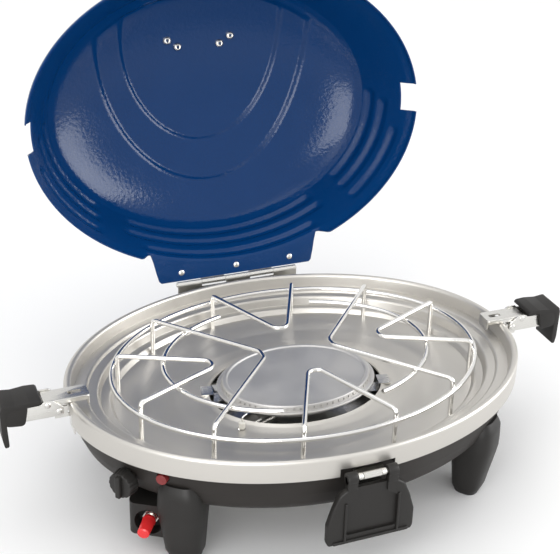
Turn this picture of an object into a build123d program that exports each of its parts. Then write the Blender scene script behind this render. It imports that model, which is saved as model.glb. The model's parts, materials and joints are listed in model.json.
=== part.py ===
from build123d import *
import math
import os

# Folding oval camp grill: gas stove base, chromed pan support, hinged enamelled lid and three latches.
# Millimetres. Z is up and the floor is Z = 0. The origin is the middle of the base on the floor,
# the front latch is on -Y, the lid hinge on +Y and the side latches on -X and +X.
# Oval pieces are drawn as round ones of the long half-width and pressed to the oval by `oval`.

# ---------------------------------------------------------------- driving sizes
rim_half_length = 225.0        # half of the bowl rim along X
rim_half_depth = 167.0         # half of the bowl rim along Y
rim_height = 120.0             # top of the bowl rim above the floor
shell_bottom_height = 57.0     # underside of the dark base shell above the floor
skirt_depth = 20.0             # height of the bright skirt round the rim
bowl_sheet = 1.2
shell_wall = 2.0
seat_band_depth = 12.5         # the lid's seat lies this far under the rim
floor_ledge_depth = 31.0       # where the pan support stands
opening_radius = 87.0          # hole in the bowl round the burner

lid_open_angle = 100.0         # degrees from closed
lid_rim_radius = 214.0
lid_crease_radius = 180.0
lid_wall_height = 68.0
lid_sheet = 1.4
lid_seat_gap = 1.0
dome_rise = 50.0               # half-height of the ellipse that the roof's dome is cut from
dome_radius = 184.0            # half-width of that ellipse

hinge_length = 136.0
hinge_axis_rise = 1.0          # axis above the rim plane
hinge_axis_out = 9.0           # axis behind the rim edge
barrel_radius = 3.2
hinge_pin_radius = 1.6
running_gap = 0.06             # radial, pin in hole
clear_gap = 0.4                # between moving pieces side by side
leaf_thick = 1.2

wire = 4.6                     # pan support wire
rack_ring_radius = 181.5
rack_corner_radius = 177.3
rack_arc_radius = 131.5
finger_rise = 9.0              # finger wires above the rim plane
ring_drop = 0.5
narrow_half_angle = 18.8       # degrees, short side fingers
wide_half_angle = 48.6         # degrees, long side fingers
end_half_angle = 14.5          # degrees, front and back fingers
long_apex = 36.0
short_apex = 87.0
end_apex = 42.0
apex_half_width = 6.0
rest_gap = 0.3                 # between curved pieces that rest on each other

foot_angle = 43.0              # degrees from the X axis, on the round drawing
foot_radius = 199.0
foot_base_width = 34.0
foot_base_depth = 27.0
foot_top_width = 45.0
foot_top_depth = 52.0
foot_height = 84.0
pad_thick = 2.0

burner_radius = 80.0
burner_disc_radius = 69.0
burner_top_depth = 21.0        # burner disc below the rim plane
burner_band = 5.5              # height of the band with the flame ports
burner_cup_depth = 13.0
port_count = 60
port_size = 1.6

housing_point = (-177.0, -92.0)   # middle of the gas inlet's face
housing_heading = -122.0       # degrees, where the inlet points
housing_height = 35.0          # its axis above the floor
housing_width = 38.0
housing_tall = 34.0
housing_long = 46.0
inlet_bore = 26.0
nozzle_radius = 4.2
nozzle_length = 14.0
cap_radius = 6.2
cap_length = 21.0

knob_angle = -150.5            # degrees on the round drawing
knob_height = 78.0
knob_radius = 13.0
knob_depth = 12.0
knob_gap = 3.0                 # between the shell's knob seat and the knob
spindle_radius = 3.0
spindle_end = 8.0              # spindle tip in front of the knob seat
button_angle = -139.0
button_height = 92.5
button_radius = 5.0
button_travel = 4.0

latch_half_width = 11.5
latch_sheet = 1.5
latch_axis_out = 10.0          # lever axis outside the rim
latch_axis_drop = 5.0          # lever axis below the rim plane
claw_reach = 19.0              # claw tip inside the rim edge
claw_rise = 1.2                # claw plate above the rim plane
claw_axis_out = 20.0           # claw axis outside the rim
grip_length = 42.0
grip_width = 30.0
grip_tail = 40.0
grip_thick = 4.0
notch_half_width = 15.0

flap_half_top = 24.0
flap_half_wide = 41.0
flap_half_bottom = 36.0
flap_height = 66.0
flap_thick = 7.0
flap_back = 2.0                # back of the flap behind its axis
flap_axis_out = 8.0            # flap axis in front of the rim edge
flap_axis_drop = 17.0
flap_pin_radius = 2.0

handle_width = 84.0
handle_rise = 34.0
foot_plate = 2.5               # top of the handle's foot plates above the dome
handle_y = -68.0
rivet_radius = 3.2

# ---------------------------------------------------------------- worked out
oval_ratio = rim_half_depth / rim_half_length
shell_depth = rim_height - shell_bottom_height
hinge_y = rim_half_depth + hinge_axis_out
hinge_z = rim_height + hinge_axis_rise
seat_z = rim_height - seat_band_depth
lid_base_z = seat_z + lid_seat_gap
lid_roof_z = lid_base_z + lid_wall_height
ledge_z = rim_height - floor_ledge_depth
ring_z = rim_height - ring_drop
finger_z = rim_height + finger_rise
pieces = {}


def oval(shape):
    """Presses a round piece to the stove's oval."""
    return scale(shape, (1.0, oval_ratio, 1.0))


def rim_point(radius, angle, z):
    """A point of the oval at a radius and angle of the round drawing."""
    a = math.radians(angle)
    return (radius * math.cos(a), oval_ratio * radius * math.sin(a), z)


def outward(angle):
    """Heading in degrees of the oval's outward normal there."""
    a = math.radians(angle)
    return math.degrees(math.atan2(math.sin(a) / oval_ratio, math.cos(a)))


def spun(outline):
    """Turns an outline of (radius, z) points round the Z axis."""
    points = [(r, 0.0, z) for r, z in outline]
    return revolve(make_face(Polyline(*points, close=True)), Axis.Z, 360)


def inset(outline, thick):
    """The same open outline moved sideways by the sheet's thickness."""
    moved = []
    for i, (r, z) in enumerate(outline):
        before = outline[max(i - 1, 0)]
        after = outline[min(i + 1, len(outline) - 1)]
        headings = []
        for a, b in ((before, (r, z)), ((r, z), after)):
            length = math.hypot(b[0] - a[0], b[1] - a[1])
            if length > 0:
                headings.append(((b[0] - a[0]) / length, (b[1] - a[1]) / length))
        side_r = sum(h[1] for h in headings) / len(headings)
        side_z = -sum(h[0] for h in headings) / len(headings)
        size = side_r ** 2 + side_z ** 2
        moved.append((r - thick * side_r / size, z - thick * side_z / size))
    return moved


def sheet(outline, thick):
    """A pressed sheet along an open outline, its thickness on the right of the way it runs."""
    return spun(list(outline) + inset(outline, thick)[::-1])


def rod(start, end, radius):
    """A round rod between two points."""
    a, b = Vector(*start), Vector(*end)
    plane = Plane(origin=a, z_dir=(b - a).normalized())
    return plane * Cylinder(radius, (b - a).length, align=(Align.CENTER, Align.CENTER, Align.MIN))


def bent_wire(points, radius):
    """Rods between the points with a ball in each corner."""
    shape = rod(points[0], points[1], radius)
    for a, b in zip(points[1:], points[2:]):
        shape += rod(a, b, radius)
    for p in points[1:-1]:
        shape += Pos(*p) * Sphere(radius)
    return shape


def block(x0, x1, y0, y1, z0, z1):
    """A box between two corners."""
    return Pos((x0 + x1) / 2, (y0 + y1) / 2, (z0 + z1) / 2) * Box(abs(x1 - x0), abs(y1 - y0), abs(z1 - z0))


def rod_x(x0, x1, y, z, radius):
    """A rod along X."""
    return rod((x0, y, z), (x1, y, z), radius)


def rod_y(x, y0, y1, z, radius):
    """A rod along Y."""
    return rod((x, y0, z), (x, y1, z), radius)


def on_heading(point, heading, z):
    """A plane at a point with its local X along a level heading."""
    return Plane(origin=(point[0], point[1], z), x_dir=(math.cos(math.radians(heading)),
                 math.sin(math.radians(heading)), 0), z_dir=(0, 0, 1))


# ---------------------------------------------------------------- base shell
shell_top = rim_height - seat_band_depth - bowl_sheet
shell_line = [
    (208.0, shell_top),
    (rim_half_length - 4.0, shell_top),
    (rim_half_length - 4.0, rim_height - 24.0),
    (rim_half_length - 8.5, rim_height - 40.0),
    (rim_half_length - 14.5, shell_bottom_height + 9.0),
    (rim_half_length - 20.0, shell_bottom_height + 2.5),
    (rim_half_length - 26.0, shell_bottom_height),
    (118.0, shell_bottom_height),
]


def shell_body():
    """The shell filled in, used to trim what is fixed to its outside."""
    outline = shell_line[:-1] + [(0.0, shell_bottom_height), (0.0, shell_top)]
    return oval(spun(outline))


shell_solid = shell_body()
knob_face = rim_point(rim_half_length - 8.0, knob_angle, knob_height)
knob_heading = outward(knob_angle)
button_face = rim_point(rim_half_length - 4.0, button_angle, button_height)
button_heading = outward(button_angle)


def make_base_shell():
    """Dark pressed shell with its holes for the valve, the igniter and the gas pipe."""
    shell = oval(sheet(shell_line[::-1], shell_wall))
    knob_plane = on_heading(knob_face, knob_heading, knob_height)
    shell -= knob_plane * Rot(0, 90, 0) * Cylinder(5.0, 40.0)
    button_plane = on_heading(button_face, button_heading, button_height)
    shell -= button_plane * Rot(0, 90, 0) * Cylinder(button_radius + 2.0, 40.0)
    pipe = rim_point(170.0, knob_angle, 0.0)
    shell -= Pos(pipe[0], pipe[1], shell_bottom_height) * Cylinder(6.0, 12.0)
    return shell


pieces["base_shell"] = make_base_shell()

plate_radius = 126.0
plate_thick = 1.5
plate_screw_radius = 122.0
plate_angles = (45.0, 135.0, 225.0, 315.0)
plate_slot_xs = (-60.0, -36.0, -12.0, 12.0, 36.0, 60.0)
plate_slot_y = 66.0
plate_slot_width = 8.0
plate_slot_length = 14.0


def make_bottom_plate():
    """Steel plate with air slots that closes the shell from below."""
    z0 = shell_bottom_height - plate_thick
    plate = oval(Pos(0, 0, z0 + plate_thick / 2) * Cylinder(plate_radius, plate_thick))
    for x in plate_slot_xs:
        for y in (-plate_slot_y, plate_slot_y):
            plate -= Pos(x, y, z0) * Box(plate_slot_width, plate_slot_length, 6.0)
    for angle in plate_angles:
        x, y, z = rim_point(plate_screw_radius, angle, z0)
        plate -= Pos(x, y, z) * Cylinder(1.7, 8.0)
    return plate


def make_plate_screws():
    """Four pan-head screws of the bottom plate, with holes in the shell to take them."""
    screws = None
    for angle in plate_angles:
        x, y, z = rim_point(plate_screw_radius, angle, shell_bottom_height - plate_thick)
        pieces["base_shell"] -= Pos(x, y, z) * Cylinder(1.7, 12.0)
        head = Pos(x, y, z - 0.9) * Cylinder(3.0, 1.8)
        shank = Pos(x, y, z + 3.0) * Cylinder(1.6, 6.0)
        screws = head + shank if screws is None else screws + head + shank
    return screws


pieces["bottom_plate"] = make_bottom_plate()
pieces["bottom_screws"] = make_plate_screws()

# ---------------------------------------------------------------- bowl
bowl_line = [
    (rim_half_length, rim_height - skirt_depth),
    (rim_half_length, rim_height - 2.6),
    (rim_half_length - 1.2, rim_height - 0.6),
    (rim_half_length - 3.0, rim_height),
    (rim_half_length - 5.0, rim_height - 1.4),
    (rim_half_length - 6.4, rim_height - 5.5),
    (rim_half_length - 7.6, seat_z),
    (rim_half_length - 19.0, seat_z),
    (rim_half_length - 20.2, seat_z - 3.0),
    (rim_half_length - 29.5, seat_z - 3.6),
    (rim_half_length - 32.0, seat_z - 12.5),
    (rim_half_length - 41.0, seat_z - 13.2),
    (rim_half_length - 44.0, ledge_z),
    (164.0, ledge_z),
    (142.0, ledge_z - 4.6),
    (120.0, ledge_z - 6.4),
    (102.0, ledge_z - 6.0),
    (91.0, ledge_z - 4.4),
    (opening_radius, ledge_z - 2.6),
]


def make_bowl():
    """Bright dished tray whose skirt hangs over the shell."""
    bowl = oval(sheet(bowl_line, bowl_sheet))
    front = rim_half_depth
    bowl -= block(-26.0, 26.0, -front - 5, -front + 10, rim_height - skirt_depth - 1, rim_height - 12.0)
    for side in (-1, 1):
        outer = side * (rim_half_length + 5)
        inner = side * (rim_half_length - 4)
        bowl -= block(outer, inner, -notch_half_width, notch_half_width,
                      rim_height - skirt_depth - 1, rim_height - 9.0)
    electrode = rim_point(99.0, -138.0, ledge_z)
    bowl -= Pos(*electrode) * Cylinder(3.6, 30.0)
    return bowl


pieces["bowl"] = make_bowl()

# ---------------------------------------------------------------- feet
foot_names = {
    "front_right": -foot_angle,
    "front_left": foot_angle - 180.0,
    "back_right": foot_angle,
    "back_left": 180.0 - foot_angle,
}


def make_foot(angle):
    """A tapered leg with rounded sides, trimmed to the shell."""
    low = rim_point(foot_radius, angle, 0.0)
    heading = outward(angle)
    lower = on_heading(low, heading, pad_thick) * RectangleRounded(foot_base_depth, foot_base_width, 11.0)
    high = rim_point(foot_radius + 2.0, angle, 0.0)
    middle = on_heading(high, heading, foot_height * 0.62) * RectangleRounded(
        foot_base_depth + 15.0, foot_top_width - 2.0, 15.0)
    upper = on_heading(high, heading, foot_height) * RectangleRounded(
        foot_top_depth - 12.0, foot_top_width - 8.0, 14.0)
    leg = loft([lower, middle]) + loft([middle, upper])
    leg -= shell_solid
    leg -= block(-plate_radius, plate_radius, -plate_radius, plate_radius, 0, shell_bottom_height)
    return leg


def make_pad(angle):
    """Rubber pad under one foot."""
    low = rim_point(foot_radius, angle, 0.0)
    plane = on_heading(low, outward(angle), 0.0)
    return extrude(plane * RectangleRounded(foot_base_depth - 4.0, foot_base_width - 4.0, 9.0), pad_thick)


pads = None
foot_screws = None
for name, angle in foot_names.items():
    leg = make_foot(angle)
    spot = rim_point(foot_radius - 12.0, angle, shell_bottom_height)
    leg -= Pos(spot[0], spot[1], shell_bottom_height - 5) * Cylinder(1.7, 10.1)
    pieces["base_shell"] -= Pos(*spot) * Cylinder(1.7, 10.0)
    screw = Pos(spot[0], spot[1], shell_bottom_height - 1.5) * Cylinder(1.6, 7.0 + 2 * shell_wall - 4.0)
    screw += Pos(spot[0], spot[1], shell_bottom_height + shell_wall + 1.0) * Cylinder(3.4, 2.0)
    foot_screws = screw if foot_screws is None else foot_screws + screw
    pieces["foot_" + name] = leg
    pad = make_pad(angle)
    pads = pad if pads is None else pads + pad
pieces["foot_pads"] = pads
pieces["foot_screws"] = foot_screws

# ---------------------------------------------------------------- pan support
wire_radius = wire / 2
finger_angles = [90.0 - end_half_angle, wide_half_angle, narrow_half_angle]
leg_angles = finger_angles + [-a for a in finger_angles]
leg_angles += [180.0 - a for a in leg_angles]
foot_of_wire = ledge_z + rest_gap


def finger(angle_a, angle_b, apex_a, apex_b):
    """One wire: leg, finger, bend over the burner, finger and leg."""
    ends = []
    for angle in (angle_a, angle_b):
        top = rim_point(rack_corner_radius, angle, finger_z)
        ends.append((top, (top[0], top[1], foot_of_wire)))
    points = [ends[0][1], ends[0][0], (*apex_a, finger_z), (*apex_b, finger_z), ends[1][0], ends[1][1]]
    return bent_wire(points, wire_radius)


def make_fingers():
    """Six bent wires: one at each end and a long and a short one on each side."""
    fingers = None
    for side in (-1, 1):
        flat = apex_half_width
        long_wire = finger(90 - side * (90 - wide_half_angle), -90 + side * (90 - wide_half_angle),
                           (side * long_apex, flat), (side * long_apex, -flat))
        short_wire = finger(90 - side * (90 - narrow_half_angle), -90 + side * (90 - narrow_half_angle),
                            (side * short_apex, flat), (side * short_apex, -flat))
        end_wire = finger(side * 90 - end_half_angle, side * 90 + end_half_angle,
                          (side * flat, side * end_apex), (-side * flat, side * end_apex))
        for wire_shape in (long_wire, short_wire, end_wire):
            fingers = wire_shape if fingers is None else fingers + wire_shape
    return fingers


def make_arcs():
    """Two inner arcs under the side fingers."""
    z = finger_z - wire * 0.98
    arcs = None
    for side in (-1, 1):
        arc = revolve(Plane.XZ * Pos(side * rack_arc_radius, z) * Circle(wire_radius), Axis.Z, 136)
        arc = oval(Rot(0, 0, -68) * arc)
        arcs = arc if arcs is None else arcs + arc
    return arcs


pieces["rack_fingers"] = make_fingers()
half_ring = oval(revolve(Plane.XZ * Pos(rack_ring_radius, ring_z) * Circle(wire_radius), Axis.Z, 180))
pieces["rack_ring"] = half_ring + Rot(0, 0, 180) * half_ring
pieces["rack_arcs"] = make_arcs()
pieces["rack_ring"] -= pieces["rack_fingers"]
pieces["rack_arcs"] -= pieces["rack_fingers"]

# ---------------------------------------------------------------- burner
disc_z = rim_height - burner_top_depth
band_top = disc_z + 1.2
band_bottom = band_top - burner_band
lip_z = band_bottom - 2.5
cup_bottom = lip_z - burner_cup_depth


def make_burner_cap():
    """Flat disc with a raised edge and a band of flame ports."""
    line = [(0.0, disc_z), (burner_disc_radius, disc_z), (burner_disc_radius + 2.5, band_top),
            (burner_disc_radius + 5.0, band_top), (burner_disc_radius + 7.0, band_bottom + 1.0),
            (burner_disc_radius + 7.0, band_bottom), (0.0, band_bottom)]
    cap = oval(spun(line))
    for i in range(port_count):
        angle = 360.0 * i / port_count
        x, y, z = rim_point(burner_disc_radius + 5.0, angle, band_bottom + 2.2)
        plane = on_heading((x, y), outward(angle), z)
        cap -= plane * Rot(0, 90, 0) * Cylinder(port_size / 2, 7.0)
    return cap


def make_burner_cup():
    """Shallow cup under the cap, with the lip that rings it."""
    line = [(0.0, band_bottom), (burner_radius, band_bottom), (burner_radius, lip_z), (66.0, lip_z),
            (58.0, cup_bottom), (0.0, cup_bottom)]
    return oval(spun(line))


strap_turn = -12.0             # degrees, burner strap from the X axis
strap_width = 16.0
strap_thick = 1.5
strap_rise_at = 82.0           # where its ends turn up, from the middle
strap_end = 94.0               # end of the flanges that rest on the bowl
flange_bottom = ledge_z - 2.8  # just into the rolled edge of the bowl's opening


def make_strap():
    """Strap under the burner, its ends turned up and out over the edge of the bowl's opening."""
    low = cup_bottom - strap_thick
    half = strap_width / 2
    strap = block(-strap_rise_at, strap_rise_at, -half, half, low, cup_bottom)
    strap -= block(-burner_radius + 30, burner_radius - 30, -4.0, 4.0, low - 1, cup_bottom + 1)
    for side in (-1, 1):
        outer = strap_rise_at + strap_thick
        strap += block(side * strap_rise_at, side * outer, -half, half, low, flange_bottom + strap_thick)
        strap += block(side * strap_rise_at, side * strap_end, -half, half,
                       flange_bottom, flange_bottom + strap_thick)
    return Rot(0, 0, strap_turn) * strap - pieces["bowl"]


pieces["burner_cap"] = make_burner_cap()
pieces["burner_cup"] = make_burner_cup()
pieces["burner_strap"] = make_strap()

# ---------------------------------------------------------------- gas train
tube_z = cup_bottom - 9.0
tube_radius = 8.0
valve_size = 22.0
spindle_root = 28.0            # start of the spindle behind the knob seat
valve_point = rim_point(178.0, knob_angle, 0.0)
tube_heading = math.degrees(math.atan2(-valve_point[1], -valve_point[0]))
valve_reach = math.hypot(valve_point[0], valve_point[1])


def along_tube(distance, z=None):
    """A point at a distance from the valve towards the middle of the burner."""
    share = 1.0 - distance / valve_reach
    return (valve_point[0] * share, valve_point[1] * share, tube_z if z is None else z)


def make_mixing_tube():
    """Tube with an air inlet that leads from the jet into the burner cup."""
    tube = rod(along_tube(34.0), along_tube(valve_reach - 20.0), tube_radius)
    tube -= rod(along_tube(30.0), along_tube(valve_reach - 24.0), tube_radius - 1.0)
    neck = along_tube(valve_reach - 30.0)
    tube += Pos(neck[0], neck[1], (tube_z + cup_bottom) / 2) * Cylinder(6.0, cup_bottom - tube_z)
    tube -= rod(along_tube(30.0), along_tube(valve_reach - 24.0), tube_radius - 1.0)
    slot = along_tube(44.0)
    tube -= Plane(origin=slot, x_dir=(math.cos(math.radians(tube_heading)),
                  math.sin(math.radians(tube_heading)), 0)) * Box(10.0, 30.0, 7.0)
    return tube


def make_jet():
    """Brass jet between the valve and the mixing tube."""
    body = rod(along_tube(valve_size / 2), along_tube(valve_size / 2 + 8.0), 5.0)
    return body + rod(along_tube(valve_size / 2 + 8.0), along_tube(valve_size / 2 + 14.0), 3.0)


def make_valve():
    """Brass valve block behind the knob, with its spindle through the shell."""
    plane = on_heading(valve_point, tube_heading, (tube_z + knob_height) / 2)
    tall = abs(tube_z - knob_height) + 14.0
    valve = plane * Box(valve_size, valve_size - 4.0, tall)
    tip = (knob_face[0] + spindle_end * math.cos(math.radians(knob_heading)),
           knob_face[1] + spindle_end * math.sin(math.radians(knob_heading)), knob_height)
    root = (knob_face[0] - spindle_root * math.cos(math.radians(knob_heading)),
            knob_face[1] - spindle_root * math.sin(math.radians(knob_heading)), knob_height)
    valve += rod(root, tip, spindle_radius)
    return valve


pieces["burner_tube"] = make_mixing_tube()
pieces["gas_jet"] = make_jet()
pieces["gas_valve"] = make_valve()


def make_knob():
    """Round control knob with a raised pointer."""
    plane = on_heading(knob_face, knob_heading, knob_height)
    knob = plane * Rot(0, 90, 0) * Pos(0, 0, knob_gap + knob_depth / 2) * Cylinder(knob_radius, knob_depth)
    knob += plane * Pos(knob_gap + knob_depth + 2.0, 0, 0) * Box(4.0, 5.0, 2 * knob_radius - 3.0)
    knob -= plane * Rot(0, 90, 0) * Cylinder(spindle_radius + running_gap, 2 * (spindle_end + clear_gap))
    return knob


pieces["gas_knob"] = make_knob()


def make_housing():
    """Rounded block that carries the gas inlet beside the front left foot."""
    plane = on_heading(housing_point, housing_heading, housing_height)
    shape = plane * Pos(-housing_long / 2, 0, 2.0) * Box(housing_long, housing_width, housing_tall)
    edges = shape.edges().filter_by(lambda e: abs(e.tangent_at(0.5).Z) > 0.9)
    shape = fillet(edges, 7.0)
    shape -= plane * Rot(0, 90, 0) * Pos(0, 0, -5.0) * Cylinder(inlet_bore / 2, 14.0)
    shape -= shell_solid
    shape -= pieces["foot_front_left"]
    return shape


def along_inlet(distance):
    """A point in front of the inlet housing's face, on the inlet's axis."""
    a = math.radians(housing_heading)
    return (housing_point[0] + distance * math.cos(a), housing_point[1] + distance * math.sin(a), housing_height)


nozzle_root = -12.0
nozzle_tip = nozzle_root + nozzle_length


def make_nozzle():
    """Plated inlet nipple with a hexagon at its root."""
    nozzle = rod(along_inlet(nozzle_root - 4.0), along_inlet(nozzle_tip), nozzle_radius)
    hexagon = Plane(origin=along_inlet(nozzle_root), z_dir=(math.cos(math.radians(housing_heading)),
                    math.sin(math.radians(housing_heading)), 0)) * extrude(RegularPolygon(7.5, 6), 5.0)
    nozzle += hexagon
    nozzle -= rod(along_inlet(nozzle_tip - 9.0), along_inlet(nozzle_tip + 1.0), 2.0)
    return nozzle


def make_dust_cap():
    """Red cap pushed over the inlet."""
    start = nozzle_tip - 6.0
    cap = rod(along_inlet(start), along_inlet(start + cap_length), cap_radius)
    cap -= rod(along_inlet(start - 1.0), along_inlet(nozzle_tip + 1.0), nozzle_radius + running_gap)
    return cap


pieces["gas_housing"] = make_housing()
pieces["gas_nozzle"] = make_nozzle()
pieces["dust_cap"] = make_dust_cap()
pieces["gas_housing"] -= rod(along_inlet(nozzle_root - 4.0), along_inlet(0.0), nozzle_radius)


def make_gas_pipe():
    """Pipe from the inlet up through the shell to the valve."""
    low = along_inlet(nozzle_root - 4.0)
    pipe_x, pipe_y, _ = rim_point(170.0, knob_angle, 0.0)
    top = valve_bottom
    return bent_wire([low, (pipe_x, pipe_y, housing_height), (pipe_x, pipe_y, top)], 3.0)


valve_bottom = min(tube_z, knob_height) - 7.0
pieces["gas_pipe"] = make_gas_pipe()
pieces["gas_housing"] -= pieces["gas_pipe"]
pieces["gas_nozzle"] -= pieces["gas_pipe"]


def make_igniter():
    """Igniter body behind the shell and the red button in front of it."""
    plane = on_heading(button_face, button_heading, button_height)
    turn = plane * Rot(0, 90, 0)
    depth = 7.0 + button_travel
    body = turn * Pos(0, 0, -3.0 - (depth + 3.0) / 2) * Cylinder(button_radius + 2.0, depth + 3.0)
    body -= turn * Pos(0, 0, -3.0) * Cylinder(button_radius + running_gap, 2 * depth)
    button = turn * Pos(0, 0, -0.5) * Cylinder(button_radius, 9.0)
    return body, button


pieces["igniter_body"], pieces["igniter_button"] = make_igniter()


def make_electrode():
    """White spark post through the bowl beside the burner, with its clip."""
    x, y, _ = rim_point(99.0, -138.0, 0.0)
    post = Pos(x, y, ledge_z - 8.0) * Cylinder(3.2, 22.0)
    return post + Pos(x, y, ledge_z + 5.0) * Cylinder(1.0, 8.0)


def make_spark_lead():
    """Lead from the igniter to the spark post."""
    x, y, _ = rim_point(99.0, -138.0, 0.0)
    start = rim_point(rim_half_length - 42.0, button_angle, 80.0)
    return bent_wire([start, (x - 20.0, y - 8.0, 70.0), (x, y, 68.0), (x, y, ledge_z - 19.0)], 1.6)


pieces["electrode"] = make_electrode()
pieces["spark_lead"] = make_spark_lead()

# ---------------------------------------------------------------- hinge
half_hinge = hinge_length / 2
knuckle_edges = [-half_hinge, -41.0, -14.0, 14.0, 41.0, half_hinge]
bracket_back = hinge_y - barrel_radius - clear_gap
leaf_low = rim_height - 42.0
lid_leaf_z = hinge_z + barrel_radius - leaf_thick
tab_top = lid_leaf_z
tab_z = tab_top - lid_sheet
leaf_front = hinge_y - 18.5


def knuckles(odd):
    """Barrel lengths that belong to the base leaf (even) or the lid leaf (odd)."""
    barrels = None
    for i, (a, b) in enumerate(zip(knuckle_edges, knuckle_edges[1:])):
        if i % 2 != odd:
            continue
        start = a + (clear_gap / 2 if i else 0)
        end = b - (clear_gap / 2 if i < len(knuckle_edges) - 2 else 0)
        barrel = rod_x(start, end, hinge_y, hinge_z, barrel_radius)
        barrels = barrel if barrels is None else barrels + barrel
    return barrels


def barrel_room(odd, low_y, high_y, low_z, high_z):
    """Blocks that clear the other leaf's knuckles."""
    room = None
    for i, (a, b) in enumerate(zip(knuckle_edges, knuckle_edges[1:])):
        if i % 2 == odd:
            gap = block(a - clear_gap / 2, b + clear_gap / 2, low_y, high_y, low_z, high_z)
            room = gap if room is None else room + gap
    return room


def make_base_leaf():
    """Hinge leaf that stands behind the bracket."""
    leaf = block(-half_hinge, half_hinge, bracket_back, bracket_back + leaf_thick, leaf_low, hinge_z)
    leaf += block(-half_hinge, half_hinge, bracket_back, hinge_y, hinge_z - leaf_thick, hinge_z)
    leaf -= barrel_room(1, bracket_back - 1, hinge_y + 9, hinge_z - barrel_radius - 0.6, hinge_z + 9)
    leaf += knuckles(0)
    leaf -= rod_x(-half_hinge - 1, half_hinge + 1, hinge_y, hinge_z, hinge_pin_radius)
    return leaf


def make_lid_leaf():
    """Hinge leaf that lies on the lid's tab, drawn with the lid closed."""
    leaf = block(-half_hinge, half_hinge, leaf_front, hinge_y, lid_leaf_z, lid_leaf_z + leaf_thick)
    leaf -= barrel_room(0, hinge_y - barrel_radius - 0.6, hinge_y + 9, hinge_z - 9, hinge_z + 9)
    leaf += knuckles(1)
    leaf -= rod_x(-half_hinge - 1, half_hinge + 1, hinge_y, hinge_z, hinge_pin_radius + running_gap)
    return leaf


def make_hinge_bracket():
    """Dark block that fills the room between the oval shell and the straight leaf."""
    bracket = block(-half_hinge - 5, half_hinge + 5, rim_half_depth - 24.0, bracket_back,
                    leaf_low - 2.0, rim_height - skirt_depth - 1.0)
    bracket -= shell_solid
    return bracket


def open_lid(shape):
    """Swings a piece of the closed lid to the open pose."""
    swing = Pos(0, hinge_y, hinge_z) * Rot(-lid_open_angle, 0, 0) * Pos(0, -hinge_y, -hinge_z)
    return swing * shape


def rivets_y(xs, y, z, head):
    """Domed rivets with their heads towards +Y."""
    rivets = None
    for x in xs:
        rivet = rod_y(x, y - 4.0, y + leaf_thick, z, rivet_radius * 0.55)
        rivet += rod_y(x, y + leaf_thick, y + leaf_thick + head, z, rivet_radius)
        rivets = rivet if rivets is None else rivets + rivet
    return rivets


base_rivet_xs = (-54.0, -20.0, 20.0, 54.0)
lid_rivet_xs = (-62.0, 0.0, 62.0)
base_rivet_z = rim_height - 33.0
lid_rivet_y = hinge_y - 13.0
pieces["hinge_bracket"] = make_hinge_bracket()
pieces["hinge_base_leaf"] = make_base_leaf()
pieces["hinge_pin"] = rod_x(-half_hinge - 1.0, half_hinge + 1.0, hinge_y, hinge_z, hinge_pin_radius)
pieces["hinge_base_rivets"] = rivets_y(base_rivet_xs, bracket_back, base_rivet_z, 1.4)
for hole_piece in ("hinge_bracket", "hinge_base_leaf"):
    pieces[hole_piece] -= pieces["hinge_base_rivets"]

# ---------------------------------------------------------------- lid
roof_radii = (174.0, 160.0, 140.0, 115.0, 85.0, 50.0, 0.0)


def dome(radius):
    """Height of the roof above its crease at a radius."""
    crease = math.sqrt(1 - (lid_crease_radius / dome_radius) ** 2)
    return dome_rise * (math.sqrt(1 - (radius / dome_radius) ** 2) - crease)


lid_line = [
    (lid_rim_radius, lid_base_z),
    (lid_rim_radius, lid_base_z + 5.0),
    (lid_rim_radius - 5.0, lid_base_z + 13.0),
    (lid_rim_radius - 15.0, lid_base_z + 33.0),
    (lid_rim_radius - 26.0, lid_base_z + 54.0),
    (lid_crease_radius, lid_roof_z),
]
lid_line += [(radius, lid_roof_z + dome(radius)) for radius in roof_radii]
panel_sizes = ((122.0, 86.0), (92.0, 42.0))   # half-width and rear edge of the U-shaped panels, from the middle
panel_widest = 84.0                           # how far in front of the middle they are widest
panel_step = 3.0
panel_limit = lid_crease_radius - 12.0
tab_half_front = 102.0
tab_half_back = half_hinge + 20.0


def panel_outline(half_width, rear):
    """U-shaped outline: straight sides to the front and a rounded rear edge."""
    front = lid_crease_radius * oval_ratio
    sides = Pos(0, -(front + panel_widest) / 2) * Rectangle(2 * half_width, front - panel_widest)
    return sides + Pos(0, -panel_widest) * Ellipse(half_width, rear + panel_widest)


def roof_solid(rise, edge):
    """The dome filled in and raised, out to a radius."""
    low = lid_roof_z - 9.0
    line = [(0.0, low), (edge, low), (edge, lid_roof_z + dome(edge) + rise)]
    line += [(radius, lid_roof_z + dome(radius) + rise) for radius in roof_radii if radius < edge]
    return oval(spun(line))


def panel_solid(shrink):
    """The stepped panels of the roof as one solid, less a sheet's thickness."""
    solid = None
    for i, (half_width, rear) in enumerate(panel_sizes):
        base = Plane(origin=(0, 0, lid_roof_z - 6.0)) * panel_outline(half_width - shrink, rear - shrink)
        level = extrude(base, 2 * dome_rise) & roof_solid(panel_step * (i + 1) - shrink, panel_limit - shrink)
        solid = level if solid is None else solid + level
    return solid


def lid_solid():
    """The lid's outside, filled in."""
    return oval(spun(lid_line + [(0.0, lid_base_z)])) + panel_solid(0.0)


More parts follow.
